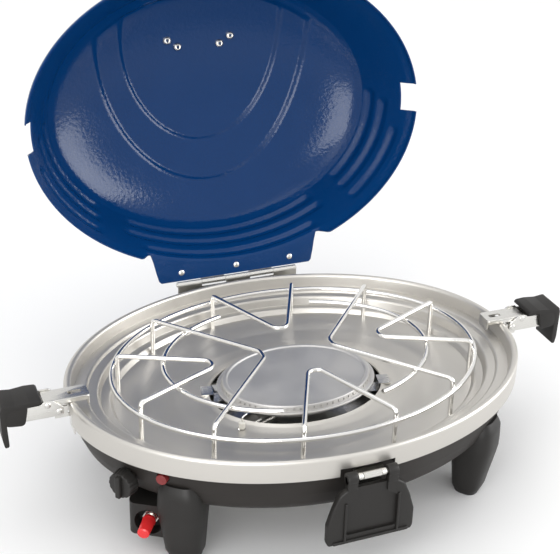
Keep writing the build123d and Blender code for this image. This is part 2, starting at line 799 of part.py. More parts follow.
def make_lid_shell():
    """Enamelled lid: sloping wall, stepped roof, hinge tab and two latch notches."""
    outline = list(lid_line)
    inner = inset(outline, lid_sheet)
    inner[0] = (lid_rim_radius - lid_sheet, lid_base_z - 1.0)
    inner[-1] = (0.0, lid_line[-1][1] - lid_sheet)
    hollow = oval(spun(inner + [(0.0, lid_base_z - 1.0)]))
    lid = lid_solid() - (hollow + panel_solid(lid_sheet))
    tab = Plane(origin=(0, 0, tab_z)) * make_face(Polyline(
        (-tab_half_front, rim_half_depth - 42.0), (-tab_half_back, hinge_y - barrel_radius - 0.8),
        (tab_half_back, hinge_y - barrel_radius - 0.8), (tab_half_front, rim_half_depth - 42.0), close=True))
    tab = extrude(tab, lid_sheet)
    tab -= hollow
    lid += tab
    for side in (-1, 1):
        lid -= block(side * (lid_rim_radius - 19.0), side * (lid_rim_radius + 5.0),
                     -notch_half_width, notch_half_width, lid_base_z - 1.0, rim_height + 9.5)
    return lid


def rivets_z(places, z, head, length):
    """Domed rivets with their heads up."""
    rivets = None
    for x, y in places:
        rivet = Pos(x, y, z - length / 2) * Cylinder(rivet_radius * 0.55, length)
        rivet += Pos(x, y, z + head / 2) * Cylinder(rivet_radius, head)
        rivets = rivet if rivets is None else rivets + rivet
    return rivets


closed_lid = {"lid_shell": make_lid_shell(), "hinge_lid_leaf": make_lid_leaf()}
closed_lid["hinge_lid_rivets"] = rivets_z([(x, lid_rivet_y) for x in lid_rivet_xs],
                                          lid_leaf_z + leaf_thick, 1.2, leaf_thick + lid_sheet + 1.6)
for hole_piece in ("lid_shell", "hinge_lid_leaf"):
    closed_lid[hole_piece] -= closed_lid["hinge_lid_rivets"]

handle_radius = math.hypot(handle_width / 2 - 12.0, handle_y / oval_ratio)
handle_roof = lid_roof_z + dome(handle_radius) + 2 * panel_step
handle_places = [(side * (handle_width / 2 - shift), handle_y + lean)
                 for side in (-1, 1) for shift, lean in ((18.0, 4.0), (6.0, -4.0))]


def make_handle_feet():
    """Two riveted feet that carry the grip, their plates fitted to the dome."""
    feet = None
    for side in (-1, 1):
        x = side * (handle_width / 2 - 12.0)
        foot = block(x - 13.0, x + 13.0, handle_y - 11.0, handle_y + 11.0, handle_roof - 8.0, handle_roof + foot_plate)
        foot += Pos(x, handle_y, handle_roof + handle_rise / 2 - 4.0) * Box(6.0, 14.0, handle_rise - 9.0)
        feet = foot if feet is None else feet + foot
    return feet - lid_solid()


def make_handle_grip():
    """Black grip bar over the two feet."""
    bar = Pos(0, handle_y, handle_roof + handle_rise) * Box(handle_width, 22.0, 14.0)
    bar = fillet(bar.edges(), 4.0)
    for side in (-1, 1):
        x = side * (handle_width / 2 - 12.0)
        bar -= Pos(x, handle_y, handle_roof + handle_rise - 7.0) * Box(6.0, 14.0, 2 * 5.0)
    return bar


closed_lid["handle_rivets"] = rivets_z(handle_places, handle_roof + foot_plate, 1.2, foot_plate + lid_sheet + 5.0)
closed_lid["handle_feet"] = make_handle_feet() - closed_lid["handle_rivets"]
closed_lid["handle_grip"] = make_handle_grip() - closed_lid["handle_feet"]
closed_lid["lid_shell"] -= closed_lid["handle_rivets"]
for name, shape in closed_lid.items():
    pieces[name] = open_lid(shape)

# ---------------------------------------------------------------- side latches
lever_x = rim_half_length + latch_axis_out
lever_z = rim_height - latch_axis_drop
claw_x = rim_half_length + claw_axis_out
claw_z = rim_height + claw_rise + 2.0
grip_start = rim_half_length + 13.0
latch_pin_radius = 2.0
lever_half = latch_half_width
claw_half = lever_half - latch_sheet - clear_gap


def make_latch(side, name):
    """One side latch, drawn on +X and mirrored for -X: bracket, lever, grip, claw and pins."""
    wall = rim_half_length - 4.0
    bracket_half = lever_half - latch_sheet - clear_gap
    low = rim_height - skirt_depth - 14.0
    under_skirt = rim_height - 9.5
    bracket = block(wall, wall + latch_sheet, -bracket_half, bracket_half, low, under_skirt)
    for y in (-1, 1):
        inner = y * (bracket_half - latch_sheet)
        bracket += block(wall, lever_x + 4.0, inner, y * bracket_half, lever_z - 8.0, under_skirt)
        bracket += block(rim_half_length + 2.0, lever_x + 4.0, inner, y * bracket_half,
                         lever_z - 8.0, lever_z + 3.5)
    bracket -= rod_y(lever_x, -20, 20, lever_z, latch_pin_radius)
    bracket -= shell_solid
    pin = rod_y(lever_x, -lever_half, lever_half, lever_z, latch_pin_radius)
    web_z = lever_z - 4.5
    lever = None
    for y in (-1, 1):
        outer = y * lever_half
        inner = y * (lever_half - latch_sheet)
        cheek = block(lever_x - 4.0, claw_x + 5.0, inner, outer, lever_z - 4.5, claw_z + 4.0)
        cheek += block(claw_x, grip_start + grip_length - 4.0, inner, outer, web_z, claw_z + 1.0)
        lever = cheek if lever is None else lever + cheek
    lever += block(lever_x + 10.5, grip_start + grip_length - 4.0, -lever_half, lever_half,
                   web_z, web_z + latch_sheet)
    lever -= rod_y(lever_x, -20, 20, lever_z, latch_pin_radius + running_gap)
    claw_pin = rod_y(claw_x, -lever_half, lever_half, claw_z, latch_pin_radius)
    lever -= claw_pin
    claw_low = rim_height + claw_rise
    claw_tip = rim_half_length - claw_reach
    claw = block(claw_tip, claw_x + 3.5, -claw_half, claw_half, claw_low + 3.2, claw_low + 3.2 + latch_sheet)
    for y in (-1, 1):
        claw += block(claw_tip, claw_x + 3.5, y * (claw_half - latch_sheet), y * claw_half,
                      claw_low, claw_low + 3.2 + latch_sheet)
    claw += block(claw_tip, claw_tip + latch_sheet, -claw_half, claw_half, claw_low - 7.0,
                  claw_low + 3.2 + latch_sheet)
    claw -= block(claw_tip + 6.0, claw_tip + 20.0, -3.0, 3.0, claw_low, claw_low + 9.0)
    claw -= rod_y(claw_x, -20, 20, claw_z, latch_pin_radius + running_gap)
    top = claw_z + 5.0
    grip = block(claw_x + 4.5, grip_start + grip_length + 8.0, -grip_width / 2, grip_width / 2,
                 top, top + grip_thick)
    tail_x = grip_start + grip_length + 8.0
    grip += block(tail_x - 5.0, tail_x, -grip_width / 2, grip_width / 2, top - grip_tail, top + grip_thick)
    for y in (-1, 1):
        grip += block(grip_start + 22.0, tail_x - 5.0, y * lever_half, y * (grip_width / 2),
                      lever_z - 6.0, top)
    grip += block(claw_x + 9.0, tail_x - 5.0, -(lever_half - latch_sheet), lever_half - latch_sheet,
                  web_z + latch_sheet, top)
    made = {"bracket": bracket, "pin": pin, "lever": lever, "claw_pin": claw_pin, "claw": claw, "grip": grip}
    for part_name, shape in made.items():
        if side < 0:
            shape = mirror(shape, Plane.YZ)
        pieces[name + "_latch_" + part_name] = shape


make_latch(-1, "left")
make_latch(1, "right")

# ---------------------------------------------------------------- front latch
flap_y = -rim_half_depth - flap_axis_out
flap_z = rim_height - flap_axis_drop
flap_room = 14.0               # half-width between the flap's cheeks
eye_half = 8.5                 # half-width of the bracket's rolled eye


def make_front_bracket():
    """Riveted bracket with a rolled eye for the flap's pin."""
    back = -(rim_half_depth - 2.5)
    bracket = block(-flap_room, flap_room, back, flap_y, flap_z - 1.0, flap_z + 1.0)
    bracket += block(-flap_room, flap_room, back - latch_sheet, back + 3.0, flap_z - 24.0, flap_z + 1.0)
    bracket -= shell_solid
    bracket -= block(-flap_room - 1, flap_room + 1, flap_y - 9, flap_y + 4.5, flap_z - 9, flap_z + 9)
    bracket += block(-eye_half, eye_half, flap_y, flap_y + 5.0, flap_z - 1.0, flap_z + 1.0)
    bracket += rod_x(-eye_half, eye_half, flap_y, flap_z, flap_pin_radius + 1.3)
    bracket -= rod_x(-flap_room - 1, flap_room + 1, flap_y, flap_z, flap_pin_radius)
    return bracket


def make_flap_springs():
    """Two coils on the pin, one on each side of the eye, drawn as sleeves."""
    springs = None
    for side in (-1, 1):
        coil = rod_x(side * eye_half, side * (flap_room - 0.5), flap_y, flap_z, flap_pin_radius + 1.2)
        coil -= rod_x(side * (eye_half - 1), side * flap_room, flap_y, flap_z, flap_pin_radius)
        springs = coil if springs is None else springs + coil
    return springs


def make_flap():
    """D-shaped black flap that hangs from the pin, with cheeks and two ribs."""
    front = flap_y + flap_back
    outline = Polyline(
        (-flap_half_top, flap_z - 9.0), (-flap_half_top - 8.0, flap_z - 15.0),
        (-flap_half_wide + 5.0, flap_z - 30.0), (-flap_half_wide, flap_z - 48.0),
        (-flap_half_wide, flap_z - flap_height + 5.0), (-flap_half_bottom, flap_z - flap_height),
        (flap_half_bottom, flap_z - flap_height), (flap_half_wide, flap_z - flap_height + 5.0),
        (flap_half_wide, flap_z - 48.0), (flap_half_wide - 5.0, flap_z - 30.0),
        (flap_half_top + 8.0, flap_z - 15.0), (flap_half_top, flap_z - 9.0), close=True)
    face = make_face([Plane.XZ.from_local_coords(edge) for edge in outline.edges()])
    flap = Pos(0, front, 0) * extrude(face, flap_thick, dir=(0, -1, 0))
    recess = block(-flap_half_top + 2.0, flap_half_top - 2.0, front - flap_thick - 1, front - flap_thick + 3.0,
                   flap_z - flap_height + 12.0, flap_z - 20.0)
    flap -= recess
    for side in (-1, 1):
        flap += block(side * (flap_room + clear_gap), side * flap_half_top, front - flap_thick, front,
                      flap_z - 12.0, flap_z)
        flap += rod_x(side * (flap_room + clear_gap), side * flap_half_top, flap_y, flap_z, 5.5)
        flap += block(side * (flap_half_top + 6.0), side * (flap_half_top + 9.0), front - flap_thick - 2.0,
                      front - flap_thick, flap_z - flap_height + 4.0, flap_z - 26.0)
    flap -= rod_x(-flap_half_top - 1, flap_half_top + 1, flap_y, flap_z, flap_pin_radius + running_gap)
    return flap


pieces["front_latch_bracket"] = make_front_bracket()
pieces["front_latch_pin"] = rod_x(-flap_half_top, flap_half_top, flap_y, flap_z, flap_pin_radius)
pieces["front_latch_springs"] = make_flap_springs()
pieces["front_latch_flap"] = make_flap()

# ---------------------------------------------------------------- files
os.makedirs("parts", exist_ok=True)
for name, shape in pieces.items():
    export_step(shape, os.path.join("parts", name + ".step"))
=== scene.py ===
import json
import logging
import math
from dataclasses import dataclass
from enum import Enum
from typing import Iterable, Sequence

import bmesh
import bpy
from mathutils import Matrix, Vector


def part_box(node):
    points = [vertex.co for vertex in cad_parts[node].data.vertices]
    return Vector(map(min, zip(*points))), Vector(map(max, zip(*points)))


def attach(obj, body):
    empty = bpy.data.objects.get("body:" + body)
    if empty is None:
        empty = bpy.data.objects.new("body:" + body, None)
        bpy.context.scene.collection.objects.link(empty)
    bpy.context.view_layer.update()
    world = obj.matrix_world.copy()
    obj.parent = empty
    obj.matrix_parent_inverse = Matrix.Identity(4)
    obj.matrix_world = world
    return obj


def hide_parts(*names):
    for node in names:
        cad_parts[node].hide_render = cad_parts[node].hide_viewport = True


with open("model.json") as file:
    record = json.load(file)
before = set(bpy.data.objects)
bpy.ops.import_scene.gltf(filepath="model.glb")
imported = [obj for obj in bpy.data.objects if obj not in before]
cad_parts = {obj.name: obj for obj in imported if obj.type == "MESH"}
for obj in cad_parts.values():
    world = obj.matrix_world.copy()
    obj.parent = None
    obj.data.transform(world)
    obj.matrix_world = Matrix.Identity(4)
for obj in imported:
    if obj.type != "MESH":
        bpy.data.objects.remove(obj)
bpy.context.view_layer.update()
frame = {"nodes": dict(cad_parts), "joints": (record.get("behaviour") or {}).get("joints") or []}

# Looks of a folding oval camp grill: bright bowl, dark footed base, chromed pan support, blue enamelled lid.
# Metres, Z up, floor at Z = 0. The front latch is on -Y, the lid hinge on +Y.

log = logging.getLogger("camp_grill")
MM = 0.001
Point2 = tuple[float, float]
Colour = tuple[float, float, float]
Line = Sequence[Sequence[float]]

# Drawing planes: the first two columns are the outline's axes, the third is the way it is thickened.
SIDE_ON = Matrix(((1, 0, 0, 0), (0, 0, -1, 0), (0, 1, 0, 0), (0, 0, 0, 1)))
END_ON = Matrix(((0, 0, 1, 0), (1, 0, 0, 0), (0, 1, 0, 0), (0, 0, 0, 1)))


# ---------------------------------------------------------------- camera, lights and floor
@dataclass
class Studio:
    """Camera, soft lights and pale floor.

    Positions are counted from the middle of the bowl's rim.
    """

    camera_from: tuple[float, float, float] = (-0.3884, -0.9242, 0.6089)
    camera_at: tuple[float, float, float] = (0.0443, 0.1607, 0.0)
    camera_roll: float = math.radians(1.45)
    lens: float = 77.46
    sensor: float = 36.0
    sky_strength: float = 1.0
    floor_half: float = 12.0
    floor_colour: Colour = (0.93, 0.93, 0.93)

    def build_camera(self, middle: Vector) -> bpy.types.Object:
        """Sets up the camera.

        Args:
            middle: Middle of the bowl's rim.

        Returns:
            The camera object.
        """
        data = bpy.data.cameras.new("camera")
        data.lens = self.lens
        data.sensor_width = self.sensor
        data.sensor_fit = "HORIZONTAL"
        data.clip_end = 100.0
        camera = bpy.data.objects.new("camera", data)
        bpy.context.scene.collection.objects.link(camera)
        place = middle + Vector(self.camera_from)
        aim = middle + Vector(self.camera_at) - place
        turn = aim.to_track_quat("-Z", "Y").to_matrix().to_4x4()
        camera.matrix_world = Matrix.Translation(place) @ turn @ Matrix.Rotation(self.camera_roll, 4, "Z")
        bpy.context.scene.camera = camera
        return camera

    def add_softbox(self, name: str, middle: Vector, offset: Vector, size: Point2, power: float,
                    card: bool = False) -> None:
        """Adds one rectangular area light aimed at the grill.

        Args:
            name: Name of the light.
            middle: Point it is aimed at.
            offset: Where it stands from that point.
            size: Width and height.
            power: Watts.
            card: Whether it only shows in reflections and does not light the floor.
        """
        data = bpy.data.lights.new(name, "AREA")
        data.shape = "RECTANGLE"
        data.size, data.size_y = size
        data.energy = power
        light = bpy.data.objects.new(name, data)
        bpy.context.scene.collection.objects.link(light)
        turn = (-offset).to_track_quat("-Z", "Y").to_matrix().to_4x4()
        light.matrix_world = Matrix.Translation(middle + offset) @ turn
        light.visible_diffuse = not card

    def build_lights(self, middle: Vector) -> None:
        """White surroundings, three softboxes and two cards that give the lid its long reflections.

        Args:
            middle: Middle of the bowl's rim.
        """
        world = bpy.data.worlds.new("studio")
        world.use_nodes = True
        sky = world.node_tree.nodes["Background"]
        sky.inputs["Color"].default_value = (1.0, 1.0, 1.0, 1.0)
        sky.inputs["Strength"].default_value = self.sky_strength
        bpy.context.scene.world = world
        bpy.context.scene.view_settings.view_transform = "Standard"
        self.add_softbox("key_left", middle, Vector((-1.5, -1.1, 1.6)), (1.1, 1.3), 7.0)
        self.add_softbox("fill_right", middle, Vector((1.9, -0.9, 1.2)), (0.8, 1.4), 4.0)
        self.add_softbox("top", middle, Vector((-0.2, 0.2, 2.2)), (1.6, 1.4), 7.0)
        self.add_softbox("card_left", middle, Vector((-1.05, -1.75, 0.70)), (1.1, 1.5), 36.0, card=True)
        self.add_softbox("card_right", middle, Vector((1.75, -0.75, 0.70)), (1.3, 1.5), 40.0, card=True)

    def build_floor(self) -> bpy.types.Object:
        """Pale floor under the grill.

        Returns:
            The floor object.
        """
        mesh = bpy.data.meshes.new("floor")
        half = self.floor_half
        corners = [(-half, -half, 0), (half, -half, 0), (half, half, 0), (-half, half, 0)]
        mesh.from_pydata(corners, [], [(0, 1, 2, 3)])
        floor = bpy.data.objects.new("floor", mesh)
        bpy.context.scene.collection.objects.link(floor)
        paint = Finish("floor_paint", self.floor_colour, roughness=0.9, grain=Grain.MOULDED,
                       relief=0.0, tint=0.0)
        mesh.materials.append(paint.material())
        return floor

    def build(self, middle: Vector) -> None:
        """Builds the whole studio.

        Args:
            middle: Middle of the bowl's rim.
        """
        self.build_camera(middle)
        self.build_lights(middle)
        self.build_floor()


# ---------------------------------------------------------------- finishes
class Grain(Enum):
    """How the fine texture of a surface runs."""

    MOULDED = "moulded"
    ENAMEL = "enamel"
    CAST = "cast"
    SPUN = "spun"
    DRAWN = "drawn"
    PLATED = "plated"


@dataclass(frozen=True)
class Finish:
    """One surface finish, made into a node material the first time it is used."""

    name: str
    colour: Colour
    roughness: float
    grain: Grain
    metallic: float = 0.0
    scale: float = 900.0
    relief: float = 0.00004
    strength: float = 0.35
    tint: float = 0.06
    spread: float = 0.06
    gloss: float = 0.5
    broad_scale: float = 28.0
    broad_detail: float = 4.0
    fine_detail: float = 3.0
    drawn_stretch: float = 0.05
    patches: Point2 = (0.3, 0.7)
    smoothest: float = 0.02

    def coordinates(self, tree: bpy.types.NodeTree) -> bpy.types.NodeSocket:
        """Texture coordinates that suit the grain.

        Args:
            tree: The material's node tree.

        Returns:
            The socket to read them from.
        """
        place = tree.nodes.new("ShaderNodeTexCoord")
        if self.grain is Grain.SPUN:
            apart = tree.nodes.new("ShaderNodeMapping")
            apart.inputs["Scale"].default_value = (1.0, 1.0 / layout.ratio, 0.0)
            tree.links.new(place.outputs["Object"], apart.inputs["Vector"])
            reach = tree.nodes.new("ShaderNodeVectorMath")
            reach.operation = "LENGTH"
            tree.links.new(apart.outputs["Vector"], reach.inputs[0])
            split = tree.nodes.new("ShaderNodeSeparateXYZ")
            tree.links.new(place.outputs["Object"], split.inputs["Vector"])
            ring = tree.nodes.new("ShaderNodeCombineXYZ")
            tree.links.new(reach.outputs["Value"], ring.inputs["X"])
            tree.links.new(split.outputs["Z"], ring.inputs["Y"])
            return ring.outputs["Vector"]
        if self.grain is Grain.DRAWN:
            stretch = tree.nodes.new("ShaderNodeMapping")
            stretch.inputs["Scale"].default_value = (self.drawn_stretch, 1.0, 1.0)
            tree.links.new(place.outputs["Object"], stretch.inputs["Vector"])
            return stretch.outputs["Vector"]
        return place.outputs["Object"]

    def material(self) -> bpy.types.Material:
        """The finish as a material.

        Returns:
            The material, shared by all pieces with this finish.
        """
        made = bpy.data.materials.get(self.name)
        if made:
            return made
        made = bpy.data.materials.new(self.name)
        made.use_nodes = True
        tree = made.node_tree
        shader = tree.nodes["Principled BSDF"]
        shader.inputs["Metallic"].default_value = self.metallic
        shader.inputs["Specular IOR Level"].default_value = self.gloss
        where = self.coordinates(tree)
        fine = tree.nodes.new("ShaderNodeTexNoise")
        fine.inputs["Scale"].default_value = self.scale
        fine.inputs["Detail"].default_value = self.fine_detail
        tree.links.new(where, fine.inputs["Vector"])
        broad = tree.nodes.new("ShaderNodeTexNoise")
        broad.inputs["Scale"].default_value = self.broad_scale
        broad.inputs["Detail"].default_value = self.broad_detail
        tree.links.new(where, broad.inputs["Vector"])
        polish = tree.nodes.new("ShaderNodeMapRange")
        polish.inputs["From Min"].default_value = self.patches[0]
        polish.inputs["From Max"].default_value = self.patches[1]
        polish.inputs["To Min"].default_value = max(self.roughness - self.spread, self.smoothest)
        polish.inputs["To Max"].default_value = min(self.roughness + self.spread, 1.0)
        tree.links.new(broad.outputs["Fac"], polish.inputs["Value"])
        tree.links.new(polish.outputs["Result"], shader.inputs["Roughness"])
        paint = tree.nodes.new("ShaderNodeMix")
        paint.data_type = "RGBA"
        paint.inputs["A"].default_value = (*[c * (1.0 - self.tint) for c in self.colour], 1.0)
        paint.inputs["B"].default_value = (*[min(c * (1.0 + self.tint), 1.0) for c in self.colour], 1.0)
        tree.links.new(broad.outputs["Fac"], paint.inputs["Factor"])
        tree.links.new(paint.outputs["Result"], shader.inputs["Base Color"])
        if self.relief:
            bump = tree.nodes.new("ShaderNodeBump")
            bump.inputs["Strength"].default_value = self.strength
            bump.inputs["Distance"].default_value = self.relief
            tree.links.new(fine.outputs["Fac"], bump.inputs["Height"])
            tree.links.new(bump.outputs["Normal"], shader.inputs["Normal"])
        return made


ENAMEL_BLUE = Finish("blue_enamel_gloss", (0.0012, 0.042, 0.165), roughness=0.15, grain=Grain.ENAMEL,
                     scale=260.0, relief=0.0005, strength=0.60, tint=0.05, spread=0.04, gloss=0.26)
BOWL_SATIN = Finish("bowl_spun_satin", (0.57, 0.55, 0.515), roughness=0.38, grain=Grain.SPUN, metallic=0.80,
                    scale=650.0, relief=0.00005, strength=0.28, tint=0.03, spread=0.05)
SHELL_DARK = Finish("shell_matt_enamel", (0.022, 0.0185, 0.016), roughness=0.52, grain=Grain.CAST,
                    scale=1400.0, relief=0.00006, strength=0.25, tint=0.08, gloss=0.28)
CHROME_WIRE = Finish("chrome_wire_bright", (0.80, 0.79, 0.77), roughness=0.13, grain=Grain.PLATED,
                     metallic=1.0, scale=700.0, relief=0.00003, strength=0.15, tint=0.03, spread=0.04)
BURNER_GREY = Finish("burner_cast_alloy", (0.56, 0.55, 0.54), roughness=0.45, grain=Grain.CAST, metallic=0.7,
                     scale=1100.0, relief=0.00007, strength=0.35, tint=0.06)
ZINC = Finish("zinc_plate_bright", (0.66, 0.65, 0.62), roughness=0.26, grain=Grain.DRAWN, metallic=1.0,
              scale=1500.0, relief=0.00003, strength=0.22, tint=0.05)
PLASTIC_DARK = Finish("moulding_dark_grained", (0.018, 0.0165, 0.015), roughness=0.48, grain=Grain.MOULDED,
                      scale=1600.0, relief=0.00006, strength=0.35, tint=0.08, gloss=0.30)
PLASTIC_RED = Finish("cap_red_smooth", (0.83, 0.028, 0.030), roughness=0.33, grain=Grain.MOULDED,
                     scale=700.0, relief=0.00003, strength=0.2, tint=0.05)
# Push button: its red is darkened to a dull dark red, painted shade for its place under the bowl's rim.
BUTTON_RED_PAINTED_SHADE = Finish("button_red_painted_shade", (0.22, 0.015, 0.015), roughness=0.5, grain=Grain.MOULDED, tint=0.05)
CERAMIC = Finish("ceramic_white_glaze", (0.80, 0.78, 0.72), roughness=0.25, grain=Grain.ENAMEL, scale=500.0)
BRASS = Finish("brass_turned", (0.58, 0.40, 0.15), roughness=0.30, grain=Grain.DRAWN, metallic=1.0)
RUBBER = Finish("pad_rubber_black", (0.018, 0.018, 0.018), roughness=0.85, grain=Grain.MOULDED)
CABLE = Finish("lead_rubber_grey", (0.035, 0.035, 0.035), roughness=0.6, grain=Grain.MOULDED)
# Near-black finish for the burner's flame ports; no piece uses it.
PORT_DARK = Finish("port_dark", (0.015, 0.014, 0.013), roughness=0.8, grain=Grain.CAST)


# ---------------------------------------------------------------- sizes that all pieces share
@dataclass(frozen=True)
class Layout:
    """Sizes read from the frame: the oval of the rim and the lid's hinge."""

    half_length: float
    half_depth: float
    rim_z: float
    hinge: Vector
    open_angle: float

    @property
    def ratio(self) -> float:
        """How deep the oval is for its width."""
        return self.half_depth / self.half_length

    def at(self, radius: float, angle: float, z: float) -> Vector:
        """A point of the oval at a radius and an angle in degrees of the round drawing."""
        a = math.radians(angle)
        return Vector((radius * math.cos(a), self.ratio * radius * math.sin(a), z))

    def outward(self, angle: float) -> float:
        """Heading in radians of the oval's outward normal at an angle in degrees."""
        a = math.radians(angle)
        return math.atan2(math.sin(a) / self.ratio, math.cos(a))

    def opened(self) -> Matrix:
        """The move from the closed lid to the open one."""
        there = Matrix.Translation(self.hinge)
        return there @ Matrix.Rotation(-self.open_angle, 4, "X") @ there.inverted()


def joint(name: str) -> dict:
    """The frame's joint of that name."""
    return next(j for j in frame["joints"] if j["name"] == name)


def read_layout() -> Layout:
    """Reads the shared sizes from the frame.

    Returns:
        The sizes that all pieces share.
    """
    low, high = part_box("bowl")
    lid = joint("lid_hinge")
    return Layout(high.x, high.y, high.z, Vector(lid["pos_m"]), math.radians(lid["range_deg"][1]))


layout = read_layout()


# ---------------------------------------------------------------- mesh helpers
def smoothstep(low: float, high: float, value: float) -> float:
    """Rises smoothly between two values.

    Args:
        low: Where the rise starts.
        high: Where it ends.
        value: Where it is read.

    Returns:
        0 at low or below, 1 at high or above.
    """
    t = min(max((value - low) / (high - low), 0.0), 1.0)
    return t * t * (3.0 - 2.0 * t)


def rounded(points: Line, radius: float, steps: int = 5, closed: bool = False) -> list[Vector]:
    """Rounds the corners of a line with curves.

    Args:
        points: The line's corners, flat or in space.
        radius: Radius of the corners, made smaller where a run is short.
        steps: Points on each corner, less one.
        closed: Whether the line closes on itself.

    Returns:
        The points of the rounded line.
    """
    corners = [Vector(p) for p in points]
    count = len(corners)
    result: list[Vector] = []
    for i, corner in enumerate(corners):
        if not closed and i in (0, count - 1):
            result.append(corner)
            continue
        before, after = corners[i - 1], corners[(i + 1) % count]
        back, on = before - corner, after - corner
        turn = math.pi - back.angle(on)
        if turn < 0.01:
            result.append(corner)
            continue
        reach = min(radius * math.tan(turn / 2), back.length * 0.48, on.length * 0.48)
        start, end = corner + back.normalized() * reach, corner + on.normalized() * reach
        for s in range(steps + 1):
            t = s / steps
            pull = (1 - t) * (1 - t), 2 * t * (1 - t), t * t
            result.append(start * pull[0] + corner * pull[1] + end * pull[2])
    return result


def sheet_section(line: Sequence[Vector], thick: float) -> list[Vector]:
    """Thickens a line to the closed section of a sheet.

    Args:
        line: One face of the sheet.
        thick: Thickness, laid off to the right of the line.

    Returns:
        The corners of the section.
    """
    moved = []
    for i, p in enumerate(line):
        a, b = line[max(i - 1, 0)], line[min(i + 1, len(line) - 1)]
        run = (Vector(b) - Vector(a)).normalized()
        moved.append(Vector((p[0] + thick * run[1], p[1] - thick * run[0])))
    return [Vector(p) for p in line] + moved[::-1]


def lathe(section: Line, ratio: float = 1.0, segments: int = 192) -> bmesh.types.BMesh:
    """Turns a closed section of (radius, z) points about Z and presses it to an oval.

    Args:
        section: The section's corners in order. Points on the axis have radius 0.
        ratio: Depth of the oval for its width.
        segments: Steps round the axis.

    Returns:
        The closed mesh.
    """
    mesh = bmesh.new()
    rings = []
    for radius, z in section:
        if radius < 1e-6:
            rings.append([mesh.verts.new((0.0, 0.0, z))])
            continue
        turns = (2 * math.pi * i / segments for i in range(segments))
        rings.append([mesh.verts.new((radius * math.cos(t), ratio * radius * math.sin(t), z)) for t in turns])
    for a, b in zip(rings, rings[1:] + rings[:1]):
        if len(a) == 1 and len(b) == 1:
            continue
        for i in range(segments):
            k = (i + 1) % segments
            corners = [a[i % len(a)], a[k % len(a)], b[k % len(b)], b[i % len(b)]]
            unique = list(dict.fromkeys(corners))
            mesh.faces.new(unique)
    bmesh.ops.recalc_face_normals(mesh, faces=mesh.faces)
    return mesh


def tube(path: Sequence[Vector], radius: float, closed: bool = False, sides: int = 14) -> bmesh.types.BMesh:
    """A round wire along a path.

    Args:
        path: Points of the middle of the wire.
        radius: Half its thickness.
        closed: Whether it is a ring.
        sides: Corners of its section.

    Returns:
        The closed mesh, with flat ends where it is not a ring.
    """
    mesh = bmesh.new()
    points = [Vector(p) for p in path]
    count = len(points)
    heading = (points[1] - points[0]).normalized()
    normal = heading.orthogonal().normalized()
    rings = []
    for i, p in enumerate(points):
        before = points[i - 1] if i or closed else p
        after = points[(i + 1) % count] if i < count - 1 or closed else p
        ahead = (after - before).normalized()
        normal = (normal - ahead * normal.dot(ahead)).normalized()
        across = ahead.cross(normal)
        turns = [2 * math.pi * k / sides for k in range(sides)]
        spokes = [math.cos(t) * normal + math.sin(t) * across for t in turns]
        rings.append([mesh.verts.new(p + radius * spoke) for spoke in spokes])
    pairs = list(zip(rings, rings[1:] + ([rings[0]] if closed else [])))
    if closed:
        first = rings[0]
        shift = min(range(sides), key=lambda k: (rings[-1][0].co - first[k].co).length)
        pairs[-1] = (rings[-1], first[shift:] + first[:shift])
    for a, b in pairs:
        for k in range(sides):
            n = (k + 1) % sides
            mesh.faces.new((a[k], a[n], b[n], b[k]))
    if not closed:
        mesh.faces.new(rings[0][::-1])
        mesh.faces.new(rings[-1])
    bmesh.ops.recalc_face_normals(mesh, faces=mesh.faces)
    return mesh


def soften(mesh: bmesh.types.BMesh, width: float, steps: int = 3, angle: float = math.radians(28)) -> None:
    """Rounds every edge that is sharper than the angle.

    Args:
        mesh: The mesh to change.
        width: How far back from the edge the rounding starts.
        steps: Faces across the rounding.
        angle: Smallest angle that is rounded.
    """
    sharp = [e for e in mesh.edges if len(e.link_faces) == 2 and e.calc_face_angle(0.0) > angle]
    bmesh.ops.bevel(mesh, geom=sharp, offset=width, offset_type="OFFSET", segments=steps, profile=0.5,
                    affect="EDGES", clamp_overlap=True)


def slab(outline: Line, thick: float, plane: Matrix, bevel: float = 0.0) -> bmesh.types.BMesh:
    """Thickens a flat outline, evenly to both sides of its plane.

    Args:
        outline: Corners in the plane's own two axes.
        thick: Thickness.
        plane: Places the outline.
        bevel: Width of the edge rounding, 0 for none.

    Returns:
        The closed mesh.
    """
    mesh = bmesh.new()
    low = [mesh.verts.new((p[0], p[1], -thick / 2)) for p in outline]
    high = [mesh.verts.new((p[0], p[1], thick / 2)) for p in outline]
    mesh.faces.new(low[::-1])
    mesh.faces.new(high)
    for i in range(len(low)):
        k = (i + 1) % len(low)
        mesh.faces.new((low[i], low[k], high[k], high[i]))
    bmesh.ops.recalc_face_normals(mesh, faces=mesh.faces)
    if bevel:
        soften(mesh, bevel)
    mesh.transform(plane)
    return mesh


def brick(low: Sequence[float], high: Sequence[float], bevel: float = 0.0) -> bmesh.types.BMesh:
    """A block with rounded edges.

    Args:
        low: Its lowest corner.
        high: Its highest corner.
        bevel: Width of the edge rounding, 0 for none.

    Returns:
        The closed mesh.
    """
    corners = [(low[0], low[1]), (high[0], low[1]), (high[0], high[1]), (low[0], high[1])]
    middle = Matrix.Translation((0, 0, (low[2] + high[2]) / 2))
    return slab(corners, high[2] - low[2], middle, bevel)


def pin(start: Vector, end: Vector, radius: float, bevel: float = 0.0, sides: int = 32) -> bmesh.types.BMesh:
    """A round bar between two points.

    Args:
        start: Middle of one end.
        end: Middle of the other end.
        radius: Radius of the bar.
        bevel: Width of the rounding at its ends, 0 for none.
        sides: Corners of its section.

    Returns:
        The closed mesh.
    """
    mesh = bmesh.new()
    length = (end - start).length
    bmesh.ops.create_cone(mesh, cap_ends=True, segments=sides, radius1=radius, radius2=radius, depth=length)
    if bevel:
        soften(mesh, bevel, steps=2, angle=math.radians(60))
    turn = (end - start).to_track_quat("Z", "Y").to_matrix().to_4x4()
    mesh.transform(Matrix.Translation((start + end) / 2) @ turn)
    return mesh


